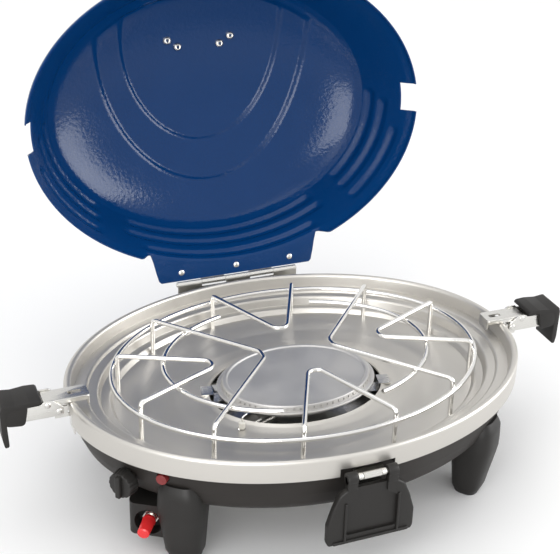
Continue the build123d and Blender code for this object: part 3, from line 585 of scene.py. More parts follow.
def facing(place: Vector, heading: Vector) -> Matrix:
    """A frame at a point whose Z runs along a heading."""
    return Matrix.Translation(place) @ heading.to_track_quat("Z", "Y").to_matrix().to_4x4()


def rivet(place: Vector, heading: Vector, radius: float, height: float) -> bmesh.types.BMesh:
    """A domed rivet head that stands on a surface.

    Args:
        place: Middle of its foot.
        heading: The way its head points.
        radius: Radius of the head.
        height: Height of the dome.

    Returns:
        The closed mesh, with a short shank under the head.
    """
    steps, shank = 6, radius * 0.6
    turns = [math.pi / 2 * i / steps for i in range(steps)]
    dome = [(radius * math.cos(t), height * math.sin(t)) for t in turns]
    mesh = lathe([(0.0, -height), (shank, -height), (shank, 0.0)] + dome + [(0.0, height)], segments=28)
    mesh.transform(facing(place, heading))
    return mesh


def merged(parts: Iterable[bmesh.types.BMesh]) -> bmesh.types.BMesh:
    """Puts several meshes into one.

    Args:
        parts: The meshes, which are used up.

    Returns:
        One mesh with all of them.
    """
    whole = bmesh.new()
    for part in parts:
        spare = bpy.data.meshes.new("spare")
        part.to_mesh(spare)
        part.free()
        whole.from_mesh(spare)
        bpy.data.meshes.remove(spare)
    return whole


def as_object(mesh: bmesh.types.BMesh, name: str) -> bpy.types.Object:
    """Makes a scene object of a mesh.

    Args:
        mesh: The mesh, which is used up.
        name: Name of the object.

    Returns:
        The object, linked to the scene.
    """
    data = bpy.data.meshes.new(name)
    mesh.to_mesh(data)
    mesh.free()
    made = bpy.data.objects.new(name, data)
    bpy.context.scene.collection.objects.link(made)
    return made


def settled(made: bpy.types.Object) -> bmesh.types.BMesh:
    """Applies an object's modifiers and removes it.

    Args:
        made: The object.

    Returns:
        Its final mesh.
    """
    shape = bpy.data.meshes.new_from_object(made.evaluated_get(bpy.context.evaluated_depsgraph_get()))
    mesh = bmesh.new()
    mesh.from_mesh(shape)
    bpy.data.objects.remove(made)
    bpy.data.meshes.remove(shape)
    return mesh


def carved(mesh: bmesh.types.BMesh, cutters: Iterable[bmesh.types.BMesh]) -> bmesh.types.BMesh:
    """Cuts shapes out of a closed mesh.

    Args:
        mesh: The mesh to cut. It is used up.
        cutters: The shapes to take away. They are used up.

    Returns:
        What is left.
    """
    body = as_object(mesh, "to_cut")
    tool = as_object(merged(cutters), "cutter")
    change = body.modifiers.new("cut", "BOOLEAN")
    change.operation = "DIFFERENCE"
    change.solver = "EXACT"
    change.use_self = True
    change.object = tool
    left = settled(body)
    bpy.data.objects.remove(tool)
    return left


def publish(mesh: bmesh.types.BMesh, name: str, finish: Finish, body: str,
            nodes: Sequence[str] = (), sharp: float = 32.0) -> bpy.types.Object:
    """Makes a finished piece that rides on a body.

    Args:
        mesh: Its shape, in place.
        name: Its name.
        finish: Its surface finish.
        body: The body that it moves with.
        nodes: The design's nodes that it stands for.
        sharp: Edges over this many degrees stay crisp.

    Returns:
        The piece.
    """
    bmesh.ops.remove_doubles(mesh, verts=mesh.verts, dist=1e-6)
    made = as_object(mesh, name)
    made.data.shade_smooth()
    made.data.set_sharp_from_angle(angle=math.radians(sharp))
    made.data.materials.append(finish.material())
    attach(made, body)
    if nodes:
        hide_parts(*nodes)
    log.info("%s: %d faces on %s", name, len(made.data.polygons), body)
    return made


def carry(finish: Finish, *nodes: str) -> None:
    """Gives nodes of the design that stay as they are their finish.

    Args:
        finish: The finish.
        nodes: Names of the nodes.
    """
    for name in nodes:
        data = frame["nodes"][name].data
        data.materials.clear()
        data.materials.append(finish.material())
        log.info("%s: kept, %s", name, finish.name)


# ---------------------------------------------------------------- bowl
@dataclass
class Bowl:
    """The bright dished tray with its rolled rim, seat band and skirt."""

    sheet: float = 1.2 * MM
    skirt: float = 20.0 * MM
    seat_drop: float = 12.5 * MM
    ledge_drop: float = 31.0 * MM
    front_notch_half: float = 26.0 * MM
    front_notch_top: float = 12.0 * MM
    side_notch_half: float = 15.0 * MM
    side_notch_top: float = 9.0 * MM
    opening: float = 87.0 * MM
    post_hole: float = 3.6 * MM
    bead_bend: float = 2.6 * MM
    step_bend: float = 1.8 * MM
    dish_bend: float = 60.0 * MM
    segments: int = 256

    def section(self) -> list[Vector]:
        """The bowl's section from the skirt's hem to the hole round the burner.

        Returns:
            The corners of the closed section.
        """
        rim, top = layout.half_length, layout.rim_z
        seat, ledge = top - self.seat_drop, top - self.ledge_drop
        edge = [(rim, top - self.skirt), (rim, top), (rim - 4.6 * MM, top), (rim - 7.6 * MM, seat)]
        bead = rounded(edge, self.bead_bend, 7)
        steps = [(rim - 19.0 * MM, seat), (rim - 20.4 * MM, seat - 3.2 * MM),
                 (rim - 29.5 * MM, seat - 3.8 * MM), (rim - 32.0 * MM, seat - 12.5 * MM),
                 (rim - 41.0 * MM, seat - 13.2 * MM), (rim - 44.0 * MM, ledge), (164.0 * MM, ledge)]
        dish = [(142.0 * MM, ledge - 4.6 * MM), (120.0 * MM, ledge - 6.4 * MM),
                (102.0 * MM, ledge - 6.0 * MM), (91.0 * MM, ledge - 4.4 * MM),
                (self.opening, ledge - 2.6 * MM)]
        inside = rounded([bead[-1]] + steps, self.step_bend, 4)[1:]
        floor = rounded([steps[-1]] + dish, self.dish_bend, 5)[1:]
        return sheet_section(bead + inside + floor, self.sheet)

    def build(self) -> None:
        """Builds the tray and cuts its notches and the spark post's hole."""
        rim, depth, top = layout.half_length, layout.half_depth, layout.rim_z
        half, side_half = self.front_notch_half, self.side_notch_half
        low, reach = top - self.skirt - 5 * MM, 4.0 * MM
        cutters = [brick((-half, -depth - reach, low), (half, -depth + 10 * MM, top - self.front_notch_top))]
        for side in (-1, 1):
            ends = sorted((side * (rim + reach), side * (rim - reach)))
            cutters.append(brick((ends[0], -side_half, low), (ends[1], side_half, top - self.side_notch_top)))
        post_low, post_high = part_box("electrode")
        post = (post_low + post_high) / 2
        hole = Vector((post.x, post.y, 0))
        under, over = Vector((0, 0, low - 20 * MM)), Vector((0, 0, top))
        cutters.append(pin(hole + under, hole + over, self.post_hole))
        tray = carved(lathe(self.section(), layout.ratio, self.segments), cutters)
        publish(tray, "bowl_tray", BOWL_SATIN, "base", ["bowl"], sharp=40.0)


# ---------------------------------------------------------------- dark base
@dataclass
class Base:
    """Dark shell, tapered feet, pads and what closes it from below."""

    wall: float = 2.0 * MM
    foot_angle: float = 43.0
    foot_radius: float = 199.0 * MM
    foot_height: float = 84.0 * MM
    foot_low: Point2 = (27.0 * MM, 34.0 * MM)
    foot_middle: Point2 = (42.0 * MM, 43.0 * MM)
    foot_high: Point2 = (40.0 * MM, 37.0 * MM)
    foot_levels: int = 18
    foot_waist: float = 0.62
    foot_squareness: float = 0.62
    pad: float = 2.0 * MM
    spindle_hole: float = 5.0 * MM
    button_hole: float = 6.0 * MM

    def shell_line(self) -> list[Vector]:
        """The outside of the shell from its top edge down and in.

        Returns:
            The points of the line.
        """
        rim = layout.half_length
        low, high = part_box("base_shell")
        corners = [(rim - 17 * MM, high.z), (rim - 4 * MM, high.z), (rim - 4 * MM, high.z - 10.3 * MM),
                   (rim - 8.5 * MM, high.z - 26.3 * MM), (rim - 14.5 * MM, low.z + 9 * MM),
                   (rim - 26 * MM, low.z), (118 * MM, low.z)]
        return rounded(corners, 14 * MM, 7)

    def filled(self) -> bmesh.types.BMesh:
        """The shell as a solid, used to trim the feet.

        Returns:
            The closed mesh.
        """
        line = self.shell_line()
        section = [Vector((0, line[0].y))] + line + [Vector((0, line[-1].y))]
        return lathe(section, layout.ratio, 128)

    def build_shell(self) -> None:
        """The shell with holes for the spindle and the push button."""
        section = sheet_section(self.shell_line(), self.wall)
        cutters = []
        for name, node, radius in (("knob_turn", "gas_knob", self.spindle_hole),
                                   ("igniter_press", "igniter_button", self.button_hole)):
            low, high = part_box(node)
            middle = (low + high) / 2
            out = Vector(joint(name)["axis"])
            cutters.append(pin(middle - out * 25 * MM, middle + out * 25 * MM, radius))
        shell = carved(lathe(section, layout.ratio, 224), cutters)
        publish(shell, "base_casing", SHELL_DARK, "base", ["base_shell"], sharp=40.0)

    def ring(self, centre: Vector, heading: float, size: Point2, z: float, power: float) -> list[Vector]:
        """One level section of a foot, a rounded square.

        Args:
            centre: Its middle.
            heading: Which way its first side runs, in radians.
            size: Its two widths.
            z: Its height.
            power: How square it is: 1 is round, less is squarer.

        Returns:
            The points of the section.
        """
        points = []
        turn = Matrix.Rotation(heading, 3, "Z")
        count = 40
        for i in range(count):
            t = 2 * math.pi * i / count
            c, s = math.cos(t), math.sin(t)
            u = math.copysign(abs(c) ** power, c) * size[0] / 2
            v = math.copysign(abs(s) ** power, s) * size[1] / 2
            spot = turn @ Vector((u, v, 0))
            points.append(Vector((centre.x + spot.x, centre.y + spot.y, z)))
        return points

    def build_foot(self, node: str, angle: float) -> None:
        """One tapered foot, trimmed to the shell.

        Args:
            node: The design's node that it replaces.
            angle: Where it stands, in degrees on the round drawing.
        """
        heading = layout.outward(angle)
        low = layout.at(self.foot_radius, angle, 0)
        high = layout.at(self.foot_radius + 2 * MM, angle, 0)
        levels = []
        waist = self.foot_waist
        for i in range(self.foot_levels + 1):
            t = i / self.foot_levels
            z = self.pad + (self.foot_height - self.pad) * t
            bend = smoothstep(0.0, waist, t) if t < waist else 1.0
            share = min(t / waist, 1.0)
            size = [a + (b - a) * share for a, b in zip(self.foot_low, self.foot_middle)]
            if t > waist:
                share = (t - waist) / (1.0 - waist)
                size = [a + (b - a) * share * share for a, b in zip(size, self.foot_high)]
            round_off = 1.0 - 0.10 * (1 - smoothstep(0.0, 0.05, t)) - 0.16 * smoothstep(0.9, 1.0, t)
            centre = low.lerp(high, bend)
            across = (size[0] * round_off, size[1] * round_off)
            levels.append(self.ring(centre, heading, across, z, self.foot_squareness))
        mesh = bmesh.new()
        rings = [[mesh.verts.new(p) for p in level] for level in levels]
        for a, b in zip(rings, rings[1:]):
            for k in range(len(a)):
                n = (k + 1) % len(a)
                mesh.faces.new((a[k], a[n], b[n], b[k]))
        mesh.faces.new(rings[0][::-1])
        mesh.faces.new(rings[-1])
        bmesh.ops.recalc_face_normals(mesh, faces=mesh.faces)
        foot = carved(mesh, [self.filled()])
        publish(foot, node + "_leg", PLASTIC_DARK, "base", [node], sharp=50.0)

    def build(self) -> None:
        """Builds the shell and the feet and dresses the hidden pieces."""
        self.build_shell()
        turns = {"foot_front_right": -self.foot_angle, "foot_front_left": self.foot_angle - 180.0,
                 "foot_back_right": self.foot_angle, "foot_back_left": 180.0 - self.foot_angle}
        for node, angle in turns.items():
            self.build_foot(node, angle)
        carry(ZINC, "bottom_plate", "bottom_screws", "foot_screws")
        carry(RUBBER, "foot_pads")
        carry(SHELL_DARK, "hinge_bracket")


# ---------------------------------------------------------------- pan support
@dataclass
class PanSupport:
    """Chromed wires: six bent fingers, a ring and two arcs."""

    wire: float = 2.3 * MM
    corner_radius: float = 177.3 * MM
    ring_radius: float = 181.5 * MM
    arc_radius: float = 131.5 * MM
    rise: float = 9.0 * MM
    ring_drop: float = 0.5 * MM
    narrow: float = 18.8
    wide: float = 48.6
    end: float = 14.5
    long_apex: float = 36.0 * MM
    short_apex: float = 87.0 * MM
    end_apex: float = 42.0 * MM
    flat: float = 6.0 * MM
    corner_bend: float = 5.0 * MM
    apex_bend: float = 11.0 * MM
    ring_steps: int = 240
    arc_half: float = 68.0
    arc_steps: int = 100
    arc_touch: float = 0.98

    def finger(self, angles: Point2, apexes: Sequence[Point2]) -> bmesh.types.BMesh:
        """One bent wire from bowl to bowl.

        Args:
            angles: Where its two legs stand, in degrees on the round drawing.
            apexes: The two points of its bend over the burner.

        Returns:
            The wire.
        """
        z = layout.rim_z + self.rise
        foot_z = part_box("rack_fingers")[0].z
        tops = [layout.at(self.corner_radius, a, z) for a in angles]
        feet = [Vector((t.x, t.y, foot_z)) for t in tops]
        line = [feet[0], tops[0], Vector((*apexes[0], z)), Vector((*apexes[1], z)), tops[1], feet[1]]
        path = rounded(line[:3], self.corner_bend, 6)[:-1]
        path += rounded([tops[0], line[2], line[3], tops[1]], self.apex_bend, 6)[1:-1]
        path += rounded(line[3:], self.corner_bend, 6)[1:]
        return tube(path, self.wire)

    def build(self) -> None:
        """Builds the wires, each set as one piece."""
        fingers = []
        for side in (-1, 1):
            long_x, short_x, flat = side * self.long_apex, side * self.short_apex, self.flat
            turn = 0.0 if side > 0 else 180.0
            for angle, x in ((self.wide, long_x), (self.narrow, short_x)):
                legs = (angle, -angle) if side > 0 else (turn - angle, turn + angle)
                fingers.append(self.finger(legs, [(x, flat), (x, -flat)]))
            legs = (side * 90 - self.end, side * 90 + self.end)
            y = side * self.end_apex
            fingers.append(self.finger(legs, [(side * flat, y), (-side * flat, y)]))
        publish(merged(fingers), "support_fingers", CHROME_WIRE, "rack",
                ["rack_fingers"], sharp=60.0)
        z = layout.rim_z - self.ring_drop
        turns = [360.0 * i / self.ring_steps for i in range(self.ring_steps)]
        ring = tube([layout.at(self.ring_radius, turn, z) for turn in turns], self.wire, closed=True)
        publish(ring, "support_ring", CHROME_WIRE, "rack", ["rack_ring"])
        arc_z = layout.rim_z + self.rise - 2 * self.wire * self.arc_touch
        spread = [2 * self.arc_half * i / self.arc_steps - self.arc_half for i in range(self.arc_steps + 1)]
        arcs = [tube([layout.at(self.arc_radius, turn + step, arc_z) for step in spread], self.wire)
                for turn in (0.0, 180.0)]
        publish(merged(arcs), "support_arcs", CHROME_WIRE, "rack",
                ["rack_arcs"], sharp=60.0)


# ---------------------------------------------------------------- burner
@dataclass
class Burner:
    """Cast burner cap with flame ports, cup, strap, tube, spark post and lead."""

    disc: float = 69.0 * MM
    ports: int = 72
    cap_drop: float = 21.0 * MM
    band: float = 5.5 * MM
    lip: float = 80.0 * MM
    lip_thick: float = 2.5 * MM
    edge_rise: float = 1.2 * MM
    port_sides: int = 4
    port_frame: float = 0.12 * MM
    port_depth: float = 1.4 * MM
    spark_wire: float = 0.8 * MM

    def build_cap(self) -> None:
        """The flat cap with its raised edge and a ring of square ports."""
        z = layout.rim_z - self.cap_drop
        top, low, disc = z + self.edge_rise, z + self.edge_rise - self.band, self.disc
        edge = rounded([(disc - 4 * MM, z), (disc, z), (disc + 1.6 * MM, top), (disc + 5 * MM, top),
                        (disc + 5.6 * MM, top - 1.2 * MM)], 0.8 * MM, 3)
        wall = [(disc + 5.9 * MM, top - 1.9 * MM), (disc + 6.6 * MM, low + 1.4 * MM), (disc + 7 * MM, low)]
        section = [(0.0, z)] + edge + wall + [(0.0, low)]
        mesh = lathe(section, layout.ratio, self.ports * self.port_sides)
        mesh.faces.ensure_lookup_table()
        out_low, out_high = low + 1.35 * MM, top - 1.85 * MM
        chosen = []
        for face in mesh.faces:
            middle = face.calc_center_median()
            spot = Vector((middle.x, middle.y / layout.ratio))
            if not out_low < middle.z < out_high or spot.length < disc:
                continue
            turn = math.atan2(spot.y, spot.x) % (2 * math.pi)
            if int(turn / (2 * math.pi) * self.ports * self.port_sides) % self.port_sides == 1:
                chosen.append(face)
        hollow = bmesh.ops.inset_individual(mesh, faces=chosen, thickness=self.port_frame,
                                            depth=-self.port_depth)
        log.info("burner cap: %d ports", len(hollow["faces"]))
        publish(mesh, "burner_top", BURNER_GREY, "base", ["burner_cap"])

    def build_cup(self) -> None:
        """The cup with its lip under the cap."""
        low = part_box("burner_cup")[0].z
        top = layout.rim_z - self.cap_drop + self.edge_rise - self.band
        lip = rounded([(self.lip - 14 * MM, top), (self.lip, top), (self.lip, top - self.lip_thick),
                       (66 * MM, top - self.lip_thick), (58 * MM, low), (20 * MM, low)], 1.0 * MM, 4)
        section = [(0.0, top)] + lip + [(0.0, low)]
        pan = lathe(section, layout.ratio)
        publish(pan, "burner_pan", BURNER_GREY, "base", ["burner_cup"])

    def build_spark_post(self) -> None:
        """White post with a collar, and the bent wire that leads to the ports."""
        low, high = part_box("electrode")
        middle = (low + high) / 2
        post_top = high.z - 6 * MM
        radius = (high.x - low.x) / 2
        stem = radius * 0.8
        section = rounded([(0, low.z), (stem, low.z), (stem, post_top - 7 * MM),
                           (radius, post_top - 6.5 * MM), (radius, post_top - 1 * MM),
                           (radius * 0.6, post_top), (0, post_top)], 0.4 * MM, 3)
        post = lathe(section, segments=40)
        post.transform(Matrix.Translation((middle.x, middle.y, 0)))
        publish(post, "spark_post", CERAMIC, "base", ["electrode"])
        inward = Vector((-middle.x, -middle.y, 0)).normalized()
        foot = Vector((middle.x, middle.y, post_top - 0.5 * MM))
        bend = foot + Vector((0, 0, 5.5 * MM))
        wire = rounded([foot, bend, bend + inward * 7 * MM], 2 * MM, 5)
        publish(tube(wire, self.spark_wire), "spark_wire", ZINC, "base")

    def build(self) -> None:
        """Builds the burner and dresses what stays from the design."""
        self.build_cap()
        self.build_cup()
        self.build_spark_post()
        carry(ZINC, "burner_strap", "burner_tube")
        carry(CABLE, "spark_lead")


# ---------------------------------------------------------------- gas inlet and controls
@dataclass
class GasControls:
    """Inlet housing with nipple and red cap, control knob and push button."""

    grooves: int = 14
    groove_depth: float = 0.055
    cap_ribs: int = 18
    cap_rib_depth: float = 0.05
    cap_length: float = 21.0 * MM
    cap_bore: float = 4.3 * MM
    knob_length: float = 12.0 * MM
    knob_start: float = 3.0 * MM

    def build_knob(self) -> None:
        """The fluted knob with its raised pointer."""
        data = joint("knob_turn")
        place, out = Vector(data["pos_m"]), Vector(data["axis"])
        low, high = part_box("gas_knob")
        radius = (high.z - low.z) / 2
        start, end = self.knob_start, self.knob_start + self.knob_length
        section = rounded([(0, start), (radius * 0.94, start), (radius, start + 2 * MM),
                           (radius * 0.93, end), (0, end)], 1.2 * MM, 4)
        knob = lathe(section, segments=self.grooves * 8)
        for vert in knob.verts:
            across = Vector((vert.co.x, vert.co.y))
            if across.length > radius * 0.8:
                wave = 0.5 - 0.5 * math.cos(self.grooves * math.atan2(across.y, across.x))
                across *= 1.0 - self.groove_depth * wave * wave
                vert.co.x, vert.co.y = across
        reach = radius - 2 * MM
        pointer = brick((-2.5 * MM, -reach, end - 1 * MM), (2.5 * MM, reach, end + 4 * MM), 1.1 * MM)
        whole = merged([knob, pointer])
        turn = Matrix(((0, 0, out.x, 0), (0, 0, out.y, 0), (0, 1, 0, 0), (0, 0, 0, 1)))
        turn[0][0], turn[1][0] = -out.y, out.x
        whole.transform(Matrix.Translation(place) @ turn)
        publish(whole, "control_knob", PLASTIC_DARK, "knob", ["gas_knob"])

    def build_button(self) -> None:
        """The round push button with a dished face."""
        low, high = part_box("igniter_button")
        out = -Vector(joint("igniter_press")["axis"])
        radius = (high.z - low.z) / 2
        half = 4.5 * MM
        section = rounded([(0, -half), (radius, -half), (radius, half),
                           (radius * 0.7, half - 0.1 * MM), (0, half - 1 * MM)], 0.9 * MM, 4)
        button = lathe(section, segments=40)
        button.transform(facing((low + high) / 2, out))
        # The button's dark red finish has the shade under the rim painted in.
        publish(button, "push_button", BUTTON_RED_PAINTED_SHADE, "button", ["igniter_button"])

    def build_inlet(self) -> None:
        """The plated nipple with its hexagon and the ribbed red cap."""
        data = joint("dust_cap_pull")
        out = Vector(data["axis"])
        low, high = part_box("dust_cap")
        middle = (low + high) / 2
        length, radius = self.cap_length, (high.z - low.z) / 2
        turn = facing(middle - out * length / 2, out)
        section = rounded([(0, 5 * MM), (self.cap_bore, 5 * MM), (self.cap_bore, 0), (radius, 0),
                           (radius, 3 * MM), (radius * 0.93, 4 * MM), (radius * 0.88, length - 1 * MM),
                           (radius * 0.6, length), (0, length)], 0.6 * MM, 3)
        cap = lathe(section, segments=72)
        for vert in cap.verts:
            across = Vector((vert.co.x, vert.co.y))
            if 4.5 * MM < vert.co.z < length - 1.5 * MM and across.length > radius * 0.7:
                wave = 0.5 - 0.5 * math.cos(self.cap_ribs * math.atan2(across.y, across.x))
                across *= 1.0 - self.cap_rib_depth * wave
                vert.co.x, vert.co.y = across
        cap.transform(turn)
        publish(cap, "dust_cap_red", PLASTIC_RED, "cap", ["dust_cap"])
        carry(ZINC, "gas_nozzle")

    def build(self) -> None:
        """Builds the visible controls and dresses the rest."""
        self.build_knob()
        self.build_button()
        self.build_inlet()
        carry(PLASTIC_DARK, "gas_housing", "igniter_body")
        carry(BRASS, "gas_jet", "gas_valve", "gas_pipe")


# ---------------------------------------------------------------- lid
@dataclass
class Lid:
    """The domed enamelled lid with stamped panels and ribs, drawn closed and swung open."""

    rim: float = 214.0 * MM
    crease: float = 180.0 * MM
    wall: float = 68.0 * MM
    base_drop: float = 11.5 * MM
    sheet: float = 1.4 * MM
    dome_rise: float = 50.0 * MM
    dome_radius: float = 184.0 * MM
    panels: Sequence[Point2] = ((122.0 * MM, 170.0 * MM), (92.0 * MM, 126.0 * MM))
    panel_front: float = -84.0 * MM
    panel_step: float = 3.0 * MM
    panel_limit: float = 168.0 * MM
    rib_heights: Sequence[float] = (60.0 * MM, 43.0 * MM, 24.0 * MM)
    rib_half: float = 7.0 * MM
    rib_relief: float = 2.6 * MM
    rib_spans: Sequence[Sequence[Point2]] = (((-3.0, 44.0), (1.0, 46.0), (12.0, 47.0)),
                                             ((53.0, 127.0), (53.0, 127.0), (60.0, 120.0)),
                                             ((136.0, 183.0), (134.0, 179.0), (133.0, 168.0)))
    rib_curve: float = 1.4
    rib_tilt: float = 0.35
    rib_end: float = 3.5
    ramp: Point2 = (-1.5 * MM, 4.5 * MM)
    crease_bend: float = 9.0 * MM
    wall_step: float = 1.6 * MM
    roof_step: float = 2.0 * MM
    roof_start: float = 174.0 * MM
    roof_rings: int = 87
    tab_half: float = 88.0 * MM
    tab_wide: float = 107.0 * MM
    hinge_rivet_x: float = 62.0 * MM
    tab_back: float = 4.0 * MM
    tab_rise: float = 2.0 * MM
    tab_root: float = 208.2 * MM
    flange: float = 1.5 * MM
    notch_half: float = 15.0 * MM
    segments: int = 480

    @property
    def base_z(self) -> float:
        """Height of the closed lid's rim."""
        return layout.rim_z - self.base_drop

    def dome(self, radius: float) -> float:
        """Height of the roof above its crease at a radius."""
        crease = math.sqrt(1 - (self.crease / self.dome_radius) ** 2)
        return self.dome_rise * (math.sqrt(1 - (radius / self.dome_radius) ** 2) - crease)

    def section(self) -> list[Vector]:
        """The outside of the sheet from the rim to the middle of the roof, evenly divided.

        Returns:
            The points of the line.
        """
        base = self.base_z
        wall = [(self.rim, base), (self.rim, base + 5 * MM), (self.rim - 5 * MM, base + 13 * MM),
                (self.rim - 15 * MM, base + 33 * MM), (self.rim - 26 * MM, base + 54 * MM),
                (self.crease, base + self.wall)]
        radii = [self.roof_start - self.roof_step * i for i in range(self.roof_rings)]
        roof = [(r, base + self.wall + self.dome(r)) for r in radii]
        corner = rounded(wall + [roof[0]], self.crease_bend, 6)
        line: list[Vector] = []
        for a, b in zip(corner, corner[1:]):
            pieces = max(1, round((b - a).length / self.wall_step))
            line += [a.lerp(b, i / pieces) for i in range(pieces)]
        return line + [Vector(p) for p in roof]

    def panel_rise(self, x: float, y: float) -> float:
        """How far the stamped panels stand out of the dome.

        Args:
            x: Where it is read, from the middle.
            y: Where it is read, from the middle.

        Returns:
            The rise at that point.
        """
        total = 0.0
        edge = self.panel_limit - math.hypot(x, y / layout.ratio)
        run = y - self.panel_front
        for half, length in self.panels:
            if run <= 0:
                inside = half - abs(x)
            else:
                level = math.hypot(x / half, run / length)
                slope = math.hypot(x / half ** 2, run / length ** 2) / max(level, 1e-6)
                inside = (1 - level) / max(slope, 1e-6)
            total += self.panel_step * smoothstep(*self.ramp, min(inside, edge))
        return total

    def rib_rise(self, angle: float, height: float) -> float:
        """How far the ribs stand out of the wall.

        Args:
            angle: Angle in degrees on the round drawing.
            height: Height above the lid's rim.

        Returns:
            The rise at that point.
        """
        angle = angle if angle < 270.0 else angle - 360.0
        total = 0.0
        for spans in self.rib_spans:
            for middle, (start, end) in zip(self.rib_heights, spans):
                across = abs(height - middle) / self.rib_half
                if across < 1.0 and start < angle < end:
                    ends = smoothstep(0.0, self.rib_end, min(angle - start, end - angle))
                    total += self.rib_relief * math.cos(across * math.pi / 2) ** self.rib_curve * ends
        return total

    def bent_out(self, spot: Vector, angle: float, share: float, tab_z: float) -> Vector:
        """Lifts a point of the rim over the bowl's edge, then runs it out onto the hinge tab.

        Args:
            spot: The point on the plain rim.
            angle: Its angle in degrees.
            share: Its height as a share of the tab's height above the rim.
            tab_z: Height of the tab's upper face.

        Returns:
            The point on the tab or on its shoulder.
        """
        middle = (self.tab_half + self.tab_wide) / 2
        lift = 1.0 - smoothstep(middle, self.tab_wide, abs(spot.x))
        run = 1.0 - smoothstep(self.tab_half, middle, abs(spot.x))
        wall = layout.at(self.tab_root, angle, tab_z)
        back = layout.hinge.y - self.tab_back
        lifted = spot.lerp(wall + Vector((0, self.flange * (1.0 - share), 0)), lift)
        return lifted.lerp(Vector((wall.x, back + (wall.y - back) * share, tab_z)), run)

    def outside(self) -> bmesh.types.BMesh:
        """The outer face of the sheet.

        Returns:
            The mesh, closed in the middle of the roof and open at the rim.
        """
        mesh = bmesh.new()
        line = self.section()
        tab_z = layout.hinge.z + self.tab_rise
        rows = []
        for radius, z in line:
            row = []
            height = z - self.base_z
            for i in range(self.segments):
                angle = 360.0 * i / self.segments
                spot = layout.at(radius, angle, z)
                if height < self.wall - 1 * MM and radius > self.crease:
                    push = self.rib_rise(angle, height)
                    a = math.radians(angle)
                    spot += Vector((math.cos(a), math.sin(a), self.rib_tilt)) * push
                elif radius < self.crease:
                    spot.z += self.panel_rise(spot.x, spot.y)
                if spot.y > 0 and z < tab_z and abs(spot.x) < self.tab_wide:
                    spot = self.bent_out(spot, angle, height / (tab_z - self.base_z), tab_z)
                row.append(mesh.verts.new(spot))
            rows.append(row)
        for a, b in zip(rows, rows[1:]):
            for i in range(self.segments):
                k = (i + 1) % self.segments
                mesh.faces.new((a[i], a[k], b[k], b[i]))
        peak = mesh.verts.new((0, 0, line[-1].y + self.panel_rise(0, 0) + 0.01 * MM))
        for i in range(self.segments):
            mesh.faces.new((rows[-1][i], rows[-1][(i + 1) % self.segments], peak))
        bmesh.ops.recalc_face_normals(mesh, faces=mesh.faces)
        return mesh

    def build_shell(self) -> None:
        """The sheet with its thickness and its two latch notches."""
        skin = as_object(self.outside(), "lid_skin")
        thick = skin.modifiers.new("sheet", "SOLIDIFY")
        thick.thickness = self.sheet
        thick.offset = -1.0
        thick.use_even_offset = True
        shell = settled(skin)
        cutters = []
        for side in (-1, 1):
            ends = sorted((side * (self.rim - 19 * MM), side * (self.rim + 5 * MM)))
            cutters.append(brick((ends[0], -self.notch_half, self.base_z - 5 * MM),
                                 (ends[1], self.notch_half, layout.rim_z + 9.5 * MM)))
        shell = carved(shell, cutters)
        shell.transform(layout.opened())
        publish(shell, "lid_enamelled", ENAMEL_BLUE, "lid", ["lid_shell"], sharp=55.0)

    def build_rivets(self) -> None:
        """Domed rivets of the hinge leaf and tubular ones of the handle."""
        swing = layout.opened()
        tab_z = layout.hinge.z + self.tab_rise
        down, up = Vector((0, 0, -1)), Vector((0, 0, 1))
        heads = []
        for x in (-self.hinge_rivet_x, 0.0, self.hinge_rivet_x):
            spot = Vector((x, layout.hinge.y - 13 * MM, tab_z - self.sheet))
            heads.append(rivet(spot, down, 3.2 * MM, 1.0 * MM))
            heads.append(rivet(Vector((x, spot.y, layout.hinge.z + 3.2 * MM)), up, 3.2 * MM, 1.4 * MM))
        whole = merged(heads)
        whole.transform(swing)
        publish(whole, "hinge_rivets_lid", ZINC, "lid", ["hinge_lid_rivets"])
        tubes = []
        for side in (-1, 1):
            for x, y in ((24 * MM, -64 * MM), (36 * MM, -72 * MM)):
                reach = math.hypot(x, y / layout.ratio)
                roof = self.base_z + self.wall + self.dome(reach) + self.panel_rise(x, y) - self.sheet
                section = rounded([(1.6 * MM, 3 * MM), (1.6 * MM, -3.2 * MM), (2.6 * MM, -3.6 * MM),
                                   (4.4 * MM, -2.2 * MM), (4.6 * MM, 0.4 * MM),
                                   (3 * MM, 3 * MM)], 0.6 * MM, 3)
                end = lathe(section, segments=32)
                end.transform(Matrix.Translation((side * x, y, roof)))
                tubes.append(end)
                head = Vector((side * x, y, roof + self.sheet + 2.2 * MM))
                tubes.append(rivet(head, up, 3.2 * MM, 1.5 * MM))
        whole = merged(tubes)
        whole.transform(swing)
        publish(whole, "handle_rivets_tubular", ZINC, "lid", ["handle_rivets"])

    def build_handle(self) -> None:
        """The dark grip bar; its two plated feet stay as designed."""
        swing = layout.opened()
        low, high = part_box("handle_grip")
        half = (high.x - low.x) / 2
        middle = swing.inverted() @ ((low + high) / 2)
        outline = rounded([(-half, -7 * MM), (half, -7 * MM), (half, 3 * MM), (half - 9 * MM, 7 * MM),
                           (-half + 9 * MM, 7 * MM), (-half, 3 * MM)], 5 * MM, 5, closed=True)
        grip = slab(outline, 22 * MM, Matrix.Translation(middle) @ SIDE_ON, 2.5 * MM)
        grip.transform(swing)
        publish(grip, "handle_bar", PLASTIC_DARK, "lid", ["handle_grip"])
        carry(ZINC, "handle_feet")

    def build(self) -> None:
        """Builds the lid and its fittings."""
        self.build_shell()
        self.build_rivets()
        self.build_handle()
        carry(ZINC, "hinge_lid_leaf", "hinge_base_leaf", "hinge_pin", "hinge_base_rivets")


